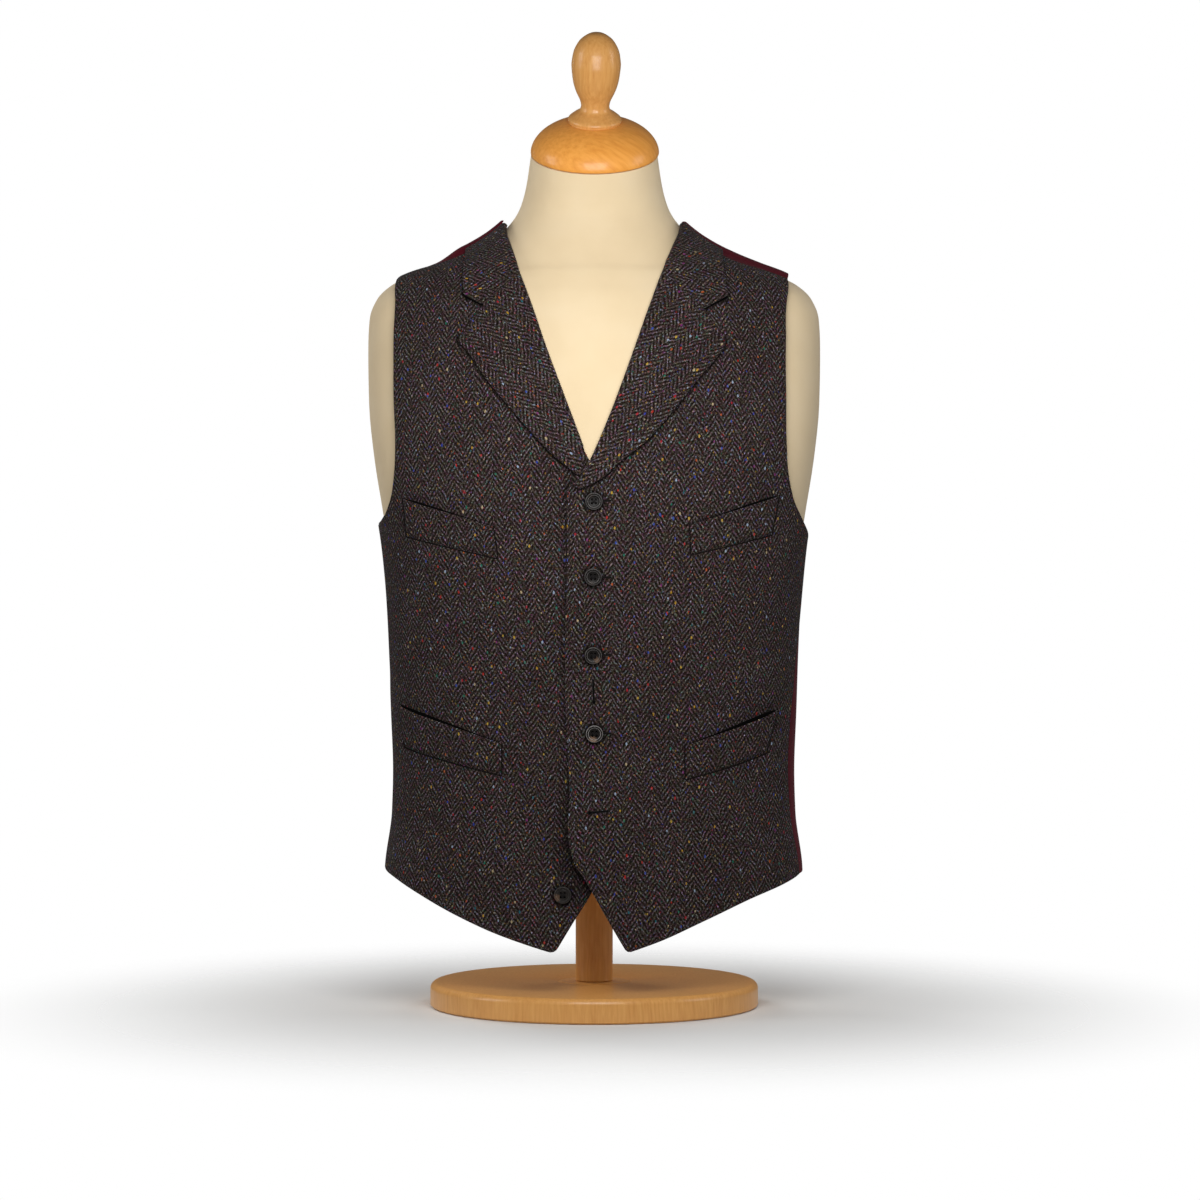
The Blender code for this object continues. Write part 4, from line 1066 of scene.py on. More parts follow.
def make_lapel(half, made):
    """A lapel, from its roll line to its outer edge, below the gorge seam."""
    roll, edge, gorge = (drawn(row) for row in (half.lapel_roll, half.lapel_edge, half.gorge))
    roll, gorge = turned_back(roll, gorge, half)
    notch = spread([gorge[-1], edge[-1]], END_STEPS)
    edge, notch = (run[::-1] for run in rounded(edge[::-1], notch[::-1], POINT_ROUND))
    gorge_steps, notch_steps = (max(FINE, steps_for(run, FINE)) for run in (gorge, notch))
    count = steps_for(edge, FINE)
    sides = (spread(roll, count), spread(edge, count),
             spread([roll[0], edge[0]], gorge_steps + notch_steps),
             joined((gorge, gorge_steps), (notch, notch_steps)))
    make_facing("lapel", half, sides, half.lapel_grain, (1, 1, GORGE_BULGE, 1), made)


def make_collar(half, made):
    """One end of the collar, from the gorge seam to the shoulder seam."""
    gorge, end, edge = (drawn(row) for row in (half.gorge, half.collar_end, half.collar_edge))
    up = np.array((0.0, 0.0, SEAM_GAP))
    gorge, end[0] = gorge + up, gorge[-1] + up
    neck = half.shoulder[0]
    neck_end = np.array(seen_from_above(*neck))
    far_end = np.array(seen_from_above(half.side * COLLAR_WIDTH, neck[1] - COLLAR_TOP))
    top = curve([neck_end, (neck_end + far_end) / 2, far_end])
    inner = curve([gorge[0], (gorge[0] + neck_end) / 2, neck_end])
    edge = curve([edge[0], edge[len(edge) // 2], edge[-1], far_end])
    inner, top = turned_back(inner, top, half)
    gorge = after(gorge, ROLL_INSET)
    inner[0] = gorge[0]
    gorge_steps, end_steps = (max(FINE, steps_for(run, FINE)) for run in (gorge, end))
    count = steps_for(inner, FINE)
    sides = (spread(inner, count), spread(edge, count),
             joined((gorge, gorge_steps), (end, end_steps)),
             spread(top, gorge_steps + end_steps))
    make_facing("collar", half, sides, half.collar_grain, (GORGE_BULGE, 1, SEAM_BULGE, 1), made)


def welt_height(net, gape):
    """How far a welt's outer face stands over its front's: sewn down but for its top edge."""
    tall = np.linalg.norm(net[-1] - net[0], axis=-1)[None]
    wide = np.linalg.norm(net[:, -1] - net[:, 0], axis=-1)[:, None]
    up = np.linspace(0, 1, net.shape[0])[:, None]
    out = np.linspace(0, 1, net.shape[1])[None]
    from_end = np.minimum(out, 1 - out) * wide
    free = fade(up * tall, WELT_TUCK, 0.0) * fade(from_end, WELT_END_TUCK, 0.0)
    along = np.sin(math.pi * out)**DIP_FULL * (WELT_GAPE_INNER + (1 - WELT_GAPE_INNER) * out)
    return WELT_SUNK + (WELT_STANDS - WELT_SUNK) * free + gape * along * fade(up, 1.0, WELT_GAPE_FROM)


def welt_edges(row):
    """A welt's foot, top, inner end and outer end, its foot and top sagging a little."""
    _, inner_foot, outer_foot, outer_top, inner_top, gape = row
    sag = (0.0, -gape * WELT_SAG)
    long_edges = [drawn([one, tuple(np.add(np.add(one, other) / 2, sag)), other])
                  for one, other in ((inner_foot, outer_foot), (inner_top, outer_top))]
    return (*long_edges, drawn([inner_foot, inner_top]), drawn([outer_foot, outer_top]))


def make_welt(row, front, made):
    """A pocket welt on its front, with the front's weave carried across it."""
    name, gape, half = row[0], row[-1], half_at(row[1])
    foot, top, inner, outer = welt_edges(row)
    wide, tall = 10 * FINE, 4 * FINE
    net = net_between(spread(inner, tall), spread(outer, tall),
                      spread(foot, wide), spread(top, wide), FINE)
    front_net, front_weave = front
    beneath = np.linalg.norm(front_net.reshape(-1, 1, 3) - net[::8, ::8].reshape(1, -1, 3), axis=-1)
    aim = front_weave.reshape(-1, 2)[beneath.argmin(0)]
    flat = flattened(net, FINE)
    few = flat[::8, ::8].reshape(-1, 2)
    weave = placed_like(flat, few, with_grain(few, aim, slice(None)))
    lift = front_lift(net, half) + TWEED / 2 - FACING / 2 + welt_height(net, gape)
    piece = shell(name, onto_skin(net, lift), skin_normals(net), weave, FACING)
    finish(piece, name, "tweed", made["tweed"])


def shadow_strip(name, run, start, stop, half, crevice):
    """A strip of painted shadow along a seam or opening, from start to stop beside a run."""
    sides = []
    for distance in (start, stop):
        places = beside(run, distance * half.side)
        sides.append(onto_skin(places, panel_lift(places, half) + TWEED / 2 + SEAM_STANDS))
    finish(mesh_object(name, *ribbon(sides)), None, "tweed", crevice)


def make_pocket_lines(row, made):
    """Strips of painted shadow in the mouth of a pocket above its welt and along the seams round the
    welt.
    """
    name, gape, half = row[0], row[-1], half_at(row[1])
    foot, top, inner, outer = welt_edges(row)
    along = np.linspace(0, 1, RUN_STEPS + 1)
    opened = np.sin(math.pi * along**MOUTH_LEAN)**MOUTH_FULL
    opened *= MOUTH_GAPE_INNER + (1 - MOUTH_GAPE_INNER) * along
    least = MOUTH_WIDE * (MOUTH_INNER + (1 - MOUTH_INNER) * along)
    mouth_shadow = least * (1 - along**MOUTH_CLOSES) + gape * opened
    shadow_strip(name + "_mouth", spread(top, RUN_STEPS), MOUTH_TUCK, -mouth_shadow, half, made["mouth_shadow"])
    for ending, run, steps, way in (("_seam", foot, RUN_STEPS, 1), ("_end", inner, END_STEPS, -1),
                                    ("_outer_end", outer, END_STEPS, 1)):
        shadow_strip(name + ending, spread(run, steps), -way * LINE_TUCK, way * SEAM_WIDE, half,
                  made["crevice"])


def make_notch_line(half, made):
    """A strip of painted shadow under the end of the collar."""
    end = spread(drawn(half.collar_end), END_STEPS)
    wide = NOTCH_WIDE * np.linspace(0.5, 1, len(end))
    shadow_strip("notch_" + half.word, end, -NOTCH_TUCK, wide, half, made["mouth_shadow"])


def placed_like(flat, before, after_move):
    """The whole flat piece moved as some of its points were."""
    start, target = before.mean(0), after_move.mean(0)
    turn = np.linalg.lstsq(before - start, after_move - target, rcond=None)[0]
    return (flat - start) @ turn + target


# ---------------------------------------------------------------- buttons and their holes
def join_rings(bm, rings):
    """Faces between each ring of a mesh's points and the next; a ring of one point is a pole."""
    for upper, lower in zip(rings, rings[1:]):
        sides = max(len(upper), len(lower))
        for i in range(sides):
            j = (i + 1) % sides
            corners = (upper[i % len(upper)], lower[i % len(lower)],
                       lower[j % len(lower)], upper[j % len(upper)])
            bm.faces.new(tuple(dict.fromkeys(corners)))


def turned(name, profile, sides, sharp=SHARP):
    """A turned mesh object: its profile of radius and height, from the top down, round Z."""
    bm = bmesh.new()
    rings = []
    for radius, height in profile:
        angles = np.linspace(0, 2 * math.pi, sides, endpoint=False) if radius > 0 else [0.0]
        places = [(radius * math.cos(a), radius * math.sin(a), height) for a in angles]
        rings.append([bm.verts.new(place) for place in places])
    join_rings(bm, rings)
    piece = object_of(name, bm)
    piece.data.set_sharp_from_angle(angle=math.radians(sharp))
    return piece


def smoothed(profile, steps):
    """A profile with its corners between the first and last point carried round a curve."""
    return [tuple(place) for place in refined(np.array(profile, float), steps)]


def tubes(name, runs, radii, sides=6):
    """Round threads along runs of points, as one mesh; radii has one or a list for each run."""
    bm = bmesh.new()
    angles = np.linspace(0, 2 * math.pi, sides, endpoint=False)
    for run, radius in zip(runs, radii):
        run = np.array(run, float)
        along = unit(np.gradient(run, axis=0))
        hint = (0.0, -1.0, 0.0) if np.abs(along[:, 1]).mean() < 0.8 else (1.0, 0.0, 0.0)
        one = unit(np.cross(along, np.array(hint)))
        other = np.cross(along, one)
        loops = []
        for place, u, v, r in zip(run, one, other, np.broadcast_to(radius, len(run))):
            around = [place + (u * math.cos(a) + v * math.sin(a)) * r for a in angles]
            loops.append([bm.verts.new(spot) for spot in around])
        join_rings(bm, loops[::-1])
        bm.faces.new(loops[0][::-1])
        bm.faces.new(loops[-1])
    return object_of(name, bm)


def button_body(name):
    """A four-hole button with a dished face, standing on its own foot at the origin."""
    body = turned(name, BUTTON_PROFILE, BUTTON_SIDES)
    bm = bmesh.new()
    for i, j in ((1, 1), (1, -1), (-1, 1), (-1, -1)):
        place = Matrix.Translation((i * BUTTON_HOLES / 2, j * BUTTON_HOLES / 2, BUTTON_THICK / 2))
        bmesh.ops.create_cone(bm, cap_ends=True, segments=HOLE_SIDES, radius1=BUTTON_HOLE,
                              radius2=BUTTON_HOLE, depth=BUTTON_THICK * 3, matrix=place)
    drills = object_of("drills", bm)
    drills.data.shade_flat()
    cut = body.modifiers.new("holes", "BOOLEAN")
    cut.object, cut.operation, cut.solver = drills, "DIFFERENCE", "EXACT"
    view = bpy.context.evaluated_depsgraph_get()
    mesh = bpy.data.meshes.new_from_object(body.evaluated_get(view))
    body.modifiers.clear()
    body.data = mesh
    mesh.set_sharp_from_angle(angle=math.radians(SHARP))
    bpy.data.objects.remove(drills, do_unlink=True)
    face = mesh.uv_layers.get("face") or mesh.uv_layers.new(name="face")
    for loop in mesh.loops:
        face.data[loop.index].uv = mesh.vertices[loop.vertex_index].co.xy
    return body


def button_thread(name):
    """The thread across a button's four holes and down to the cloth."""
    steps = np.linspace(-1, 1, 13)
    across = steps * BUTTON_HOLES / 2
    runs = []
    for pair in (0, THREAD_BESIDE):
        for side, over in ((1, 0), (-1, THREAD_OVER)):
            rise = THREAD_RISE + THREAD_ARCH * (1 - steps**2) + over
            rise = np.where(np.abs(steps) > THREAD_SINKS, THREAD_FOOT, rise)
            tilt = side * pair
            runs.append(np.stack([across + tilt, (across - tilt) * side, rise], -1))
    runs.append([(0.0, 0.0, height) for height in (SHANK_RADIUS, SHANK_MIDDLE, -SHANK_RADIUS)])
    return tubes(name, runs, [BUTTON_THREAD] * 4 + [SHANK_RADIUS])


def make_button(row, made):
    """A button standing on its front, held by its thread."""
    name, x, z, half, angle, strength, light, highlight = row
    place = np.array([seen_from_front(x, z)])
    foot = onto_skin(place, front_lift(place, half) + TWEED / 2 + BUTTON_GAP)[0]
    turn = Vector(uphill(place)[0]).to_track_quat("Z", "Y")
    body, thread = button_body(name), button_thread(name + "_thread")
    for piece in (body, thread):
        piece.matrix_world = Matrix.Translation(foot) @ turn.to_matrix().to_4x4()
    finish(body, name, "button", horn_material(name, math.radians(angle), strength, light, highlight))
    finish(thread, None, "button", made["thread"])


def make_buttonhole(name, eye, end, inside, made):
    """A keyhole buttonhole: its slit and round eyelet, edged with close stitches, and painted shadow
    in them.
    """
    eye, end = np.array(eye), np.array(end)
    length = np.linalg.norm(end - eye)
    along = (end - eye) / length
    across = np.array((-along[1], along[0]))
    opens = math.asin(HOLE_HALF / EYELET)
    bend = np.linspace(opens, 2 * math.pi - opens, 26)
    loop = [along * (EYELET * math.cos(a)) + across * (EYELET * math.sin(a)) for a in bend]
    out = np.linspace(EYELET, length, 60)
    loop += [along * s - across * HOLE_HALF for s in out]
    loop += [along * s + across * HOLE_HALF for s in out[::-1]]
    loop.append(loop[0])
    flat = spread(np.array(loop) + eye, HOLE_STEPS)
    run = on_top_front(flat, PURL * PURL_UP)
    stitches = lengths_along(run) / STITCH
    radii = PURL * (1 - PURL_SWELL + PURL_SWELL * np.sin(2 * math.pi * stitches))
    finish(tubes(name, [run], [radii], 7), None, "tweed", made["thread"])
    # the opening is a dark strip of painted shadow between the edging's two sides
    sides = [flat[:HOLE_STEPS // 2], flat[:HOLE_STEPS // 2 - 1:-1]]
    inner = [on_top_front(side, PURL * SLIT_UP) for side in sides]
    finish(mesh_object(name + "_slit", *ribbon(inner)), None, "tweed", made[inside])


def on_top_front(flat, out):
    """Points given as x and height moved onto the outer face of the top front."""
    places = np.array([seen_from_front(*place) for place in flat])
    return onto_skin(places, front_lift(places, LEFT) + TWEED / 2 + out)


def ribbon(sides):
    """Points and faces of a strip between two runs of points."""
    count = min(len(side) for side in sides)
    points = np.concatenate([side[:count] for side in sides])
    i = np.arange(count - 1)
    return points, np.stack([i, i + 1, i + 1 + count, i + count], -1)


# ---------------------------------------------------------------- the dress form
def form_ring(z, angles):
    """One level ring of the form inside the skin."""
    points = np.array([at_angle(angle, z) for angle in angles])
    from_ridge = np.abs(points[:, 1] - ring(np.array([z]))[3, 0] + FORM_RIDGE_AHEAD)
    beside_neck = fade(np.abs(points[:, 0]), FORM_REST_FROM, FORM_NECK_CLEAR)
    on_top = fade(z, FORM_REST_FULL, FORM_CLEAR_TO)
    ridge = fade(from_ridge, FORM_RIDGE, FORM_RIDGE_END) * beside_neck * on_top
    drop = max(0.0, 1 - (z - FORM_BOTTOM) / FORM_BOTTOM_ROUND)
    inset = TWEED / 2 + FORM_CLEAR - (FORM_CLEAR - FORM_REST) * ridge
    inset = inset + FORM_BOTTOM_ROUND * (1 - math.sqrt(1 - drop**2))
    inward = uphill(points) * (1, 1, 0 if z < FORM_CLEAR_TO else 1)
    return points - inward * (inset / np.linalg.norm(inward, axis=-1))[:, None]


def make_form(made):
    """The torso and neck, a loft of level rings inside the waistcoat's skin."""
    turns = np.linspace(0, 2 * math.pi, FORM_SIDES, endpoint=False)
    angles = np.degrees(turns + FORM_CROWDING * np.sin(2 * turns))
    rounding = [FORM_BOTTOM + share * FORM_BOTTOM_ROUND for share in (0.0, 0.1, 0.3, 0.6)]
    body = np.linspace(FORM_BOTTOM + FORM_BOTTOM_ROUND, FORM_CLEAR_TO, 4 * FORM_BODY_RINGS)
    shoulders = np.linspace(FORM_CLEAR_TO, FORM_NECK_FROM, 3 * FORM_SHOULDER_RINGS)[1:]
    rings = [form_ring(z, angles) for z in (*rounding, *body, *shoulders)]
    neck = [form_ring(FORM_NECK_FROM - FORM_NECK_LEAD, angles), rings[-1]]
    for z, width, depth, centre, lean in NECK:
        across = np.sin(np.radians(angles)) * width
        ahead = -np.cos(np.radians(angles)) * depth
        neck.append(np.stack([across, centre + ahead, z + ahead * math.tan(math.radians(lean))], -1))
    rings += list(refined(np.array(neck), 5)[6:])
    points = np.concatenate(rings)
    grid = np.arange(len(points)).reshape(len(rings), FORM_SIDES)
    beside_it = np.roll(grid, -1, axis=1)
    quads = np.stack([grid[:-1], beside_it[:-1], beside_it[1:], grid[1:]], -1).reshape(-1, 4)
    faces = quads.tolist() + [grid[0, ::-1].tolist(), grid[-1].tolist()]
    form = mesh_object("form_torso_jersey", points, faces)
    form.data.set_sharp_from_angle(angle=math.radians(FORM_SHARP))
    finish(form, "form_torso", "jersey", made["jersey"])


def make_stand(made):
    """The turned neck cap, finial, pole and base."""
    tilt = math.radians(NECK_TILT)
    axis = Vector((0.0, -math.sin(tilt), math.cos(tilt)))
    dome = [(0.0, CAP_SEAT), (CAP_SEAT_RADIUS, CAP_SEAT)]
    for a in np.linspace(math.asin(CAP_SEAT_RADIUS / CAP_RADIUS) + 0.01, math.pi / 2, 34):
        share = math.sin(a)
        height = CAP_RIM + CAP_DOME * (1 - share**CAP_ROUND)**(1 / CAP_CROWN)
        dome.append((CAP_RADIUS * share, height))
    foot = [(CAP_RADIUS - CAP_CHAMFER * (1 - math.cos(a)), CAP_RIM * (1 - math.sin(a)))
            for a in np.linspace(0.3, math.pi / 2, 5)]
    cap = turned("neck_cap_wood", dome + foot + [(0.0, 0.0)], 96)
    cap.location = Vector(NECK_TOP) + TOUCH * axis
    cap.rotation_euler.x = tilt
    finish(cap, "neck_cap", "wood", made["cap"])
    finial = turned("finial_wood", finial_profile(), 72, FINIAL_SHARP)
    finial.location = cap.location + FINIAL_FOOT * axis
    finial.rotation_euler = (tilt, math.radians(FINIAL_LEAN), 0.0)
    finish(finial, "finial", "wood", made["knob"])
    inner, under = BASE_RADIUS - BASE_ROUND, BASE_THICK - BASE_ROUND
    edge = [(inner + BASE_ROUND * math.sin(a), under + BASE_ROUND * math.cos(a))
            for a in np.linspace(0, math.pi / 2, 9)]
    foot = [(BASE_RADIUS, BASE_FOOT), (BASE_RADIUS - BASE_FOOT, 0.0), (0.0, 0.0)]
    groove = [(radius, BASE_THICK - deep) for radius, deep in BASE_GROOVE]
    base = turned("base_wood", [(0.0, BASE_THICK)] + groove + edge + foot, 128)
    finish(base, "base", "wood", made["knob"])
    low, high, thin = BASE_THICK + TOUCH, FORM_BOTTOM - TOUCH, POLE_RADIUS - POLE_BEVEL
    pole = turned("pole_wood", [(0.0, high), (thin, high), (POLE_RADIUS, high - POLE_BEVEL),
                                (POLE_RADIUS, low + POLE_BEVEL), (thin, low), (0.0, low)], 48)
    finish(pole, "pole", "wood", made["knob"])


def finial_profile():
    """The finial's profile, its long curves made smooth and its small rings kept crisp."""
    knob = smoothed(FINIAL_PROFILE[:11], 5)
    flare = smoothed(FINIAL_PROFILE[10:15], 4)
    rim = smoothed(FINIAL_PROFILE[14:17], 4)
    return knob + flare[1:] + rim[1:] + [(FINIAL_PROFILE[-1][0], -FINIAL_SUNK), (0.0, -FINIAL_SUNK)]


# ---------------------------------------------------------------- materials
def linear(red, green, blue):
    """A colour given as on screen, 0 to 255, as the linear one that a shader takes."""
    shares = [value / 255 for value in (red, green, blue)]
    return tuple(s / 12.92 if s <= 0.04045 else ((s + 0.055) / 1.055)**2.4 for s in shares) + (1.0,)


SATIN_COLOURS = (linear(62, 6, 18), linear(84, 10, 26), linear(104, 18, 36))
LINING_COLOURS = (linear(58, 7, 17), linear(80, 11, 25), linear(96, 18, 33))
JERSEY_COLOURS = (linear(222, 199, 160), linear(229, 207, 169), linear(233, 213, 178))
HORN_PALE = (linear(84, 58, 43), linear(124, 97, 76), linear(160, 136, 116))
# colour of the highlight painted on a button's rim rings
HORN_HIGHLIGHT = linear(138, 134, 132)
# Thread and strips of painted shadow: short name, the material's own name, its colour and its
# roughness
THREADS_AND_SHADOWS = (
    ("thread", "dark_thread", linear(32, 30, 30), 0.7),
    ("slit", "buttonhole_slit", linear(5, 4, 4), 0.95),
    ("crevice", "seam_crevice", linear(17, 14, 13), 0.95),
    ("mouth_shadow", "pocket_mouth", linear(5, 4, 4), 0.95),
)


def new_material(name, roughness, specular, sheen=0.0, sheen_roughness=0.5):
    """A material's nodes and its shader, with what is the same all over set on the shader."""
    made = bpy.data.materials.new(name)
    made.use_nodes = True
    shader = made.node_tree.nodes["Principled BSDF"]
    shader.inputs["Roughness"].default_value = roughness
    shader.inputs["Specular IOR Level"].default_value = specular
    shader.inputs["Sheen Weight"].default_value = sheen
    shader.inputs["Sheen Roughness"].default_value = sheen_roughness
    return made, made.node_tree, shader


def put(tree, kind, settings, sockets):
    """A new node with its settings, and with its sockets linked or set."""
    made = tree.nodes.new(kind)
    for key, value in settings.items():
        setattr(made, key, value)
    for key, value in sockets.items():
        if isinstance(value, bpy.types.NodeSocket):
            tree.links.new(value, made.inputs[key])
        else:
            made.inputs[key].default_value = value
    return made


def calc(tree, operation, *values):
    """The value of one sum on others."""
    return put(tree, "ShaderNodeMath", {"operation": operation}, dict(enumerate(values))).outputs[0]


def times(tree, one, other):
    """The product of two values."""
    return calc(tree, "MULTIPLY", one, other)


def plus(tree, one, other):
    """The sum of two values."""
    return calc(tree, "ADD", one, other)


def vector(tree, operation, *values, output=0):
    """What one sum on vectors gives."""
    made = put(tree, "ShaderNodeVectorMath", {"operation": operation}, dict(enumerate(values)))
    return made.outputs[output]


def noise(tree, where, scale, detail=1.0, colour=False):
    """A noise node's value, or its colour."""
    made = put(tree, "ShaderNodeTexNoise", {}, {"Vector": where, "Scale": scale, "Detail": detail})
    return made.outputs[1 if colour else 0]


def mixed(tree, share, one, other, blend="MIX"):
    """Two colours mixed, with the second one's share."""
    settings = {"data_type": "RGBA", "blend_type": blend}
    return put(tree, "ShaderNodeMix", settings, {0: share, 6: one, 7: other}).outputs[2]


def mapped(tree, value, low, high, to_low=0.0, to_high=1.0):
    """A value's stretch from low to high, clamped, as one from to_low to to_high."""
    sockets = {0: value, 1: low, 2: high, 3: to_low, 4: to_high}
    return put(tree, "ShaderNodeMapRange", {"interpolation_type": "SMOOTHSTEP"}, sockets).outputs[0]


def colours_of(tree, value, colours, constant=False):
    """A ramp through colours at even steps."""
    made = put(tree, "ShaderNodeValToRGB", {}, {0: value})
    ramp = made.color_ramp
    ramp.interpolation = "CONSTANT" if constant else "LINEAR"
    while len(ramp.elements) < len(colours):
        ramp.elements.new(0.5)
    last = len(colours) if constant else len(colours) - 1
    for i, (element, colour) in enumerate(zip(ramp.elements, colours)):
        element.position = i / last
        element.color = colour
    return made.outputs[0]


def bumped(tree, shader, height):
    """A shader's surface raised by a height in metres."""
    made = put(tree, "ShaderNodeBump", {}, {"Height": height, "Distance": 1.0, "Strength": 1.0})
    tree.links.new(made.outputs[0], shader.inputs["Normal"])


def uv_place(tree, name):
    """The place on a map of a mesh."""
    return put(tree, "ShaderNodeUVMap", {"uv_map": name}, {}).outputs[0]


def own_place(tree):
    """The place in a piece's own space."""
    return put(tree, "ShaderNodeTexCoord", {}, {}).outputs["Object"]


def split(tree, value):
    """A vector's three parts."""
    return put(tree, "ShaderNodeSeparateXYZ", {}, {0: value}).outputs


def combined(tree, *values):
    """A vector of three parts."""
    return put(tree, "ShaderNodeCombineXYZ", {}, dict(enumerate(values))).outputs[0]


# The small pale flecks, then the large bright ones: width of a cell, how much longer it is, the
# size of the largest fleck, how far the cells turn, in radians, and the flecks' strength
FLECKS = (
    (0.0034, 1.4, 0.00062, 0.5, 0.26),
    (0.0082, 1.6, 0.00088, -0.6, 0.58),
)
FLECK_COLOURS = (
    linear(188, 42, 34), linear(196, 152, 44), linear(190, 92, 40), linear(22, 118, 96),
    linear(204, 168, 62), linear(48, 66, 168), linear(132, 50, 120), linear(168, 188, 212),
    linear(178, 38, 52), linear(196, 176, 136), linear(34, 108, 120), linear(60, 84, 176),
)


def add_flecks(tree, weave, ground, cell, stretch, size, turn, strength):
    """Little knots of coloured wool caught in the yarn, one to a cell at most."""
    sockets = {0: weave, 1: (cell * turn * 3, 0.7, 0.0), 2: (0.0, 0.0, turn),
               3: (1 / cell, 1 / (cell * stretch), 1)}
    placed = put(tree, "ShaderNodeMapping", {}, sockets).outputs[0]
    ragged = noise(tree, weave, 1700.0, 1.0, True)
    ragged = vector(tree, "MULTIPLY_ADD", ragged, (0.10, 0.10, 0.0), placed)
    cells = put(tree, "ShaderNodeTexVoronoi", {"voronoi_dimensions": "2D"},
                {"Vector": ragged, "Scale": 1.0})
    picks = split(tree, cells.outputs[1])
    reach = mapped(tree, picks[1], 0.15, 1.0, 0.0, size / cell)
    shown_share = times(tree, calc(tree, "LESS_THAN", cells.outputs[0], reach), strength)
    return mixed(tree, shown_share, ground, colours_of(tree, picks[0], FLECK_COLOURS, True))


def spread_noise(tree, where, scale, stretch, detail, contrast):
    """Noise about zero, its grains stretched along the second axis."""
    drawn_out = vector(tree, "MULTIPLY", where, (scale, scale / stretch, scale))
    value = noise(tree, drawn_out, 1.0, detail)
    return times(tree, calc(tree, "SUBTRACT", value, 0.5), contrast / NOISE_SPREAD)


def tweed_material():
    """Herringbone wool: broken light and dark lines under a coarse grain of mixed colours."""
    made, tree, shader = new_material("herringbone_tweed", 0.95, 0.06, 0.03, 0.5)
    weave = uv_place(tree, "weave")
    stray = vector(tree, "SUBTRACT", noise(tree, weave, 150.0, 2.0, True), (0.5, 0.5, 0.0))
    place = vector(tree, "MULTIPLY_ADD", stray, (WANDER * 2, WANDER * 4, 0.0), weave)
    u, v, _ = split(tree, place)
    column = calc(tree, "FLOOR", calc(tree, "DIVIDE", u, COLUMN))
    zig = calc(tree, "PINGPONG", u, COLUMN)
    climb = calc(tree, "MULTIPLY_ADD", zig, TWILL_RISE, v)
    shift = times(tree, calc(tree, "PINGPONG", column, 1.0), 0.5)
    phase = plus(tree, calc(tree, "DIVIDE", climb, TWILL_STEP), shift)
    wave = calc(tree, "SINE", times(tree, phase, 2 * math.pi))
    along = combined(tree, calc(tree, "DIVIDE", u, YARN_SLUB), times(tree, phase, 1.3),
                     times(tree, column, 5.3))
    slubs = mapped(tree, noise(tree, along, 1.0, 1.0), 0.30, 0.66, 0.45, 1.4)
    lines = times(tree, times(tree, wave, slubs), LINE_CONTRAST)
    grain = spread_noise(tree, weave, 800.0, 1.35, 1.0, GRAIN_CONTRAST)
    clouds = spread_noise(tree, weave, 24.0, 1.0, 2.0, 0.07)
    tone = plus(tree, plus(tree, lines, grain), clouds)
    light = [calc(tree, "EXPONENT", times(tree, tone, power)) for power in TONE_POWERS]
    hues = vector(tree, "MULTIPLY_ADD", noise(tree, weave, 340.0, 2.0, True), (HUE_CONTRAST,) * 3,
                  (1 - HUE_CONTRAST / 2,) * 3)
    colour = mixed(tree, 1.0, combined(tree, *light), TWEED_COLOUR, "MULTIPLY")
    colour = mixed(tree, 1.0, colour, hues, "MULTIPLY")
    for row in FLECKS:
        colour = add_flecks(tree, weave, colour, *row)
    # painted shade: the cloth darkened at the edges of what lies on it, round buttons, over pocket
    # mouths and beside the top front's edge
    edge = put(tree, "ShaderNodeAttribute", {"attribute_name": "shade"}, {}).outputs["Fac"]
    kept = mapped(tree, edge, 0.0, 1.0, 1.0, EDGE_KEEPS)
    colour = mixed(tree, 1.0, colour, combined(tree, kept, kept, kept), "MULTIPLY")
    tree.links.new(colour, shader.inputs["Base Color"])
    bumped(tree, shader, times(tree, tone, 0.00012))
    return made


def satin_material(name, colours):
    """Close twilled lining cloth with a soft gloss."""
    made, tree, shader = new_material(name, 0.48, 0.11, 0.02, 0.35)
    weave = uv_place(tree, "weave")
    u, v, _ = split(tree, weave)
    threads = combined(tree, times(tree, u, 1800.0), times(tree, v, 110.0), 0.0)
    streaks = noise(tree, threads, 1.0, 2.0)
    clouds = noise(tree, weave, 30.0, 2.0)
    tone = plus(tree, mapped(tree, streaks, 0.3, 0.7, 0.1, 0.8),
                mapped(tree, clouds, 0.3, 0.7, 0.0, 0.15))
    tree.links.new(colours_of(tree, tone, colours), shader.inputs["Base Color"])
    twill = calc(tree, "SINE", times(tree, plus(tree, u, times(tree, v, 0.6)), 9000.0))
    bumped(tree, shader, calc(tree, "MULTIPLY_ADD", twill, 0.000008, times(tree, streaks, 0.00003)))
    return made


def thread_and_shadow_material(name, colour, roughness):
    """Twisted sewing thread, its dye a little uneven; the same makes the strips of painted shadow."""
    made, tree, shader = new_material(name, roughness, 0.06)
    place = own_place(tree)
    dark = tuple(0.6 * share for share in colour[:3]) + (1.0,)
    dyed = colours_of(tree, noise(tree, place, 1800.0, 2.0), (dark, colour, colour))
    tree.links.new(dyed, shader.inputs["Base Color"])
    bumped(tree, shader, times(tree, noise(tree, place, 3500.0, 2.0), 0.0001))
    return made


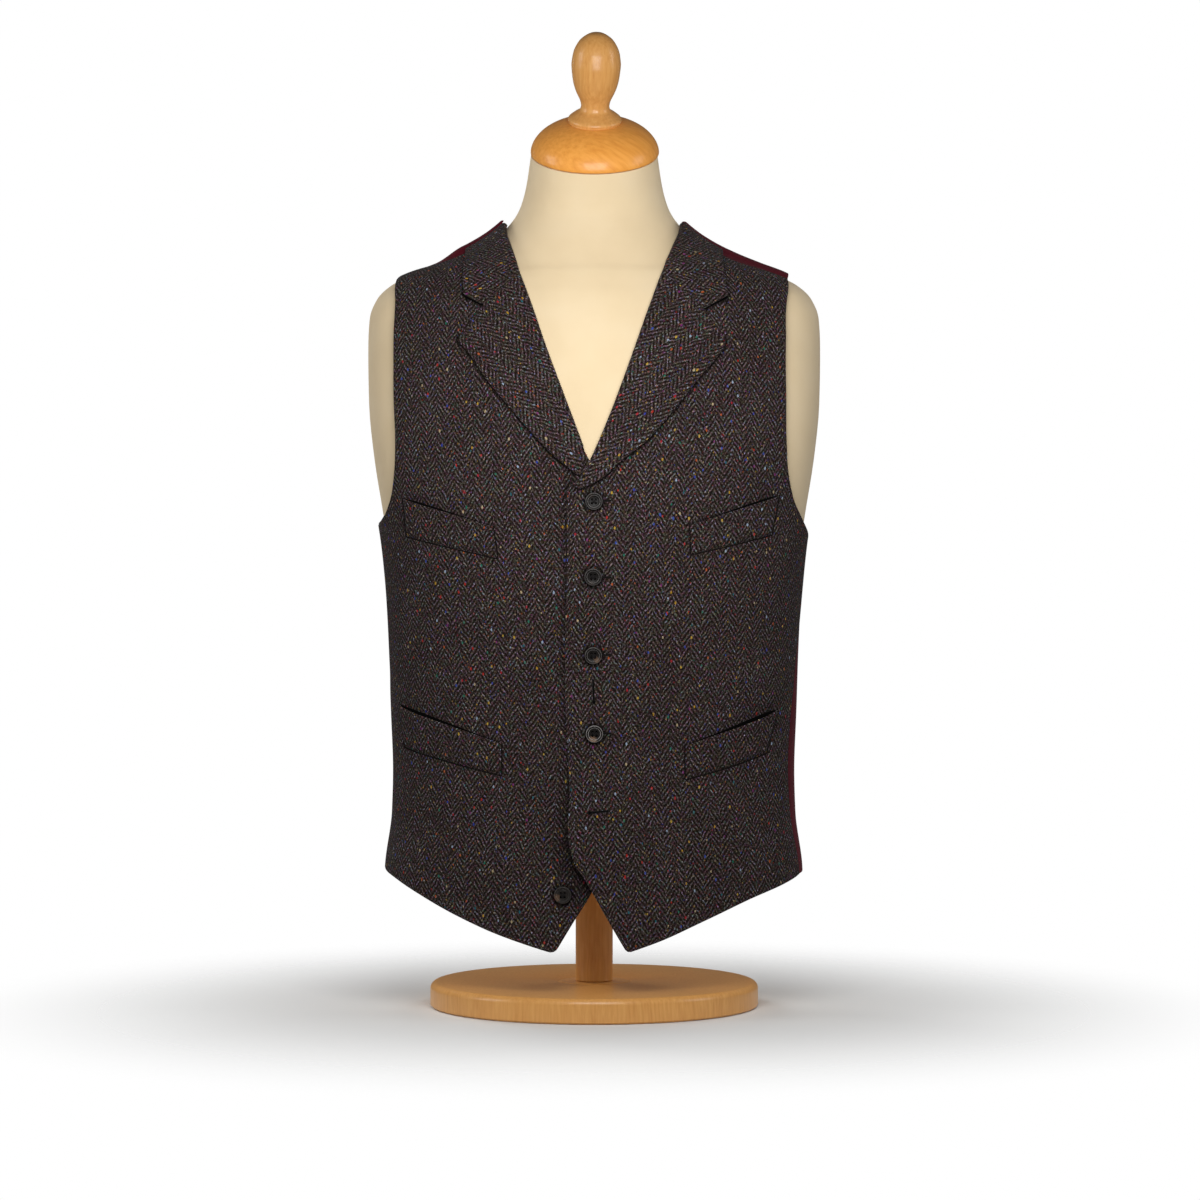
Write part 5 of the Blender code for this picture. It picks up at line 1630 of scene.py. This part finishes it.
def horn_material(name, angle, strength, light, highlight):
    """Polished horn: dark, with one paler clouded patch and two rings of painted highlight on its rim.
    """
    made, tree, shader = new_material(name + "_horn", 0.30, 0.09)
    place = uv_place(tree, "face")
    middle = (HORN_PATCH_OUT * math.cos(angle), HORN_PATCH_OUT * math.sin(angle), 0.0)
    clouds = noise(tree, place, 260.0, 3.0, True)
    bent = vector(tree, "MULTIPLY_ADD", clouds, (0.006, 0.006, 0.0),
                  vector(tree, "SUBTRACT", place, (0.003, 0.003, 0)))
    away = vector(tree, "DISTANCE", bent, middle, output="Value")
    patch_share = mapped(tree, away, 0.0030 + 0.0022 * strength, 0.0010 + 0.0010 * strength,
                         0.0, strength)
    veins = noise(tree, place, 420.0, 4.0)
    tones = [(light * share, light * share * 0.86, light * share * 0.78, 1.0)
             for share in (0.6, 1.0, 1.7)]
    dark = colours_of(tree, veins, tones)
    pale = colours_of(tree, veins, HORN_PALE)
    colour = mixed(tree, patch_share, dark, pale)
    out = vector(tree, "LENGTH", place, output="Value")
    # pale rings of painted highlight where the rim's crests would catch the light
    for radius in HORN_HIGHLIGHT_RADII:
        off = calc(tree, "ABSOLUTE", calc(tree, "SUBTRACT", out, radius))
        painted_highlight = mapped(tree, off, 0.00042, 0.00015, 0.0, highlight)
        painted_highlight = times(tree, painted_highlight, mapped(tree, clouds, 0.3, 0.7, 0.6, 1.3))
        colour = mixed(tree, painted_highlight, colour, HORN_HIGHLIGHT)
    tree.links.new(colour, shader.inputs["Base Color"])
    bumped(tree, shader, times(tree, noise(tree, place, 500.0, 2.0), 0.000006))
    return made


def jersey_material():
    """Cream jersey stretched over the form."""
    made, tree, shader = new_material("form_jersey", 0.85, 0.2, 0.12)
    place = own_place(tree)
    x, y, z = split(tree, place)
    clouds = noise(tree, place, 25.0, 3.0)
    tree.links.new(colours_of(tree, clouds, JERSEY_COLOURS), shader.inputs["Base Color"])
    wales = calc(tree, "SINE", times(tree, calc(tree, "ARCTAN2", x, y), 900.0))
    courses = calc(tree, "SINE", times(tree, z, 7000.0))
    fuzz = times(tree, noise(tree, place, 900.0, 2.0), 0.00006)
    bumped(tree, shader, calc(tree, "MULTIPLY_ADD", times(tree, wales, courses), 0.00003, fuzz))
    return made


def wood_material(name, turn, stretch, tones):
    """Varnished orange beech, its faint grain drawn out along one direction."""
    made, tree, shader = new_material(name, 0.42, 0.30)
    shader.inputs["Coat Weight"].default_value = 0.30
    shader.inputs["Coat Roughness"].default_value = 0.16
    place = put(tree, "ShaderNodeMapping", {}, {0: own_place(tree), 2: turn}).outputs[0]
    bend = noise(tree, place, 14.0, 2.0, True)
    place = vector(tree, "MULTIPLY_ADD", bend, (0.012, 0.012, 0.012), place)
    long_way = vector(tree, "MULTIPLY", place, stretch)
    grain = noise(tree, long_way, 1.0, 4.0)
    pores = noise(tree, vector(tree, "MULTIPLY", long_way, (3.2, 3.2, 2.0)), 1.0, 2.0)
    tone = calc(tree, "MULTIPLY_ADD", mapped(tree, grain, 0.25, 0.75), 0.70,
                times(tree, pores, 0.40))
    tree.links.new(colours_of(tree, tone, tones), shader.inputs["Base Color"])
    bumped(tree, shader, times(tree, grain, 0.00003))
    return made


def floor_material():
    """A plain pale floor that fades into the backdrop away from the stand."""
    made, tree, shader = new_material("pale_floor", 0.9, 0.1)
    shader.inputs["Base Color"].default_value = FLOOR_COLOUR
    x, y, _ = split(tree, own_place(tree))
    away = calc(tree, "SQRT", plus(tree, times(tree, x, x), times(tree, y, y)))
    tree.links.new(mapped(tree, away, *FLOOR_FADES, 1.0, 0.0), shader.inputs["Alpha"])
    return made


# ---------------------------------------------------------------- stage, light and camera
def make_stage():
    """A pale floor, a white backdrop, soft studio light and the camera."""
    scene = bpy.context.scene
    scene.view_settings.view_transform = "Standard"
    floor = turned("floor", [(0.0, 0.0), (FLOOR_REACH, 0.0)], 64)
    floor.location.z = -FLOOR_DOWN
    floor.data.materials.append(floor_material())
    world = bpy.data.worlds.new("studio")
    world.use_nodes = True
    tree = world.node_tree
    ambient, white = tree.nodes["Background"], tree.nodes.new("ShaderNodeBackground")
    for background, strength in ((ambient, AMBIENT), (white, 1.0)):
        background.inputs["Color"].default_value = (1.0, 1.0, 1.0, 1.0)
        background.inputs["Strength"].default_value = strength
    seen = tree.nodes.new("ShaderNodeLightPath").outputs["Is Camera Ray"]
    both = put(tree, "ShaderNodeMixShader", {},
               {0: seen, 1: ambient.outputs[0], 2: white.outputs[0]})
    tree.links.new(both.outputs[0], tree.nodes["World Output"].inputs["Surface"])
    scene.world = world
    for row in LIGHTS:
        add_light(*row)
    camera = shown("camera", bpy.data.cameras.new("camera"))
    camera.data.lens = CAMERA_LENS
    camera.data.sensor_width = CAMERA_FILM
    camera.location = CAMERA_PLACE
    camera.rotation_euler = (math.radians(90), 0.0, 0.0)
    scene.camera = camera


def add_light(name, place, aim, size, watts, mirrored):
    """A soft rectangular light that the camera itself doesn't see."""
    light = bpy.data.lights.new(name, "AREA")
    light.shape = "RECTANGLE"
    light.size, light.size_y = size
    light.energy = watts
    lamp = shown(name, light)
    lamp.location = place
    lamp.rotation_euler = (Vector(aim) - Vector(place)).to_track_quat("-Z", "Y").to_euler()
    lamp.visible_camera = False
    lamp.visible_glossy = mirrored


def make_materials():
    """Every material but the buttons' own, each under a short name."""
    made = {
        "tweed": tweed_material(),
        "satin": satin_material("burgundy_satin", SATIN_COLOURS),
        "lining": satin_material("front_lining", LINING_COLOURS),
        "jersey": jersey_material(),
        "knob": wood_material("varnished_wood", (0.0, 0.0, 0.0), (420.0, 420.0, 26.0), KNOB_TONES),
        "cap": wood_material("varnished_wood_cap", (0.0, 0.9, 0.35), (300.0, 300.0, 20.0), CAP_TONES),
    }
    for name, full_name, colour, roughness in THREADS_AND_SHADOWS:
        made[name] = thread_and_shadow_material(full_name, colour, roughness)
    return made


def main():
    """Makes the waistcoat, the form under it and the stage."""
    made = make_materials()
    halves = (LEFT, RIGHT)
    fronts = {half.word: make_front(half, made) for half in halves}
    for make in (make_back, make_seam_tape, make_lapel, make_collar):
        for half in halves:
            make(half, made)
    for row in WELTS:
        make_welt(row, fronts[half_at(row[1]).word], made)
        make_pocket_lines(row, made)
    for half in halves:
        make_notch_line(half, made)
    for row in BUTTONS:
        make_button(row, made)
    for row in BUTTONHOLES:
        make_buttonhole(*row, made)
    make_form(made)
    make_stand(made)
    make_stage()


main()
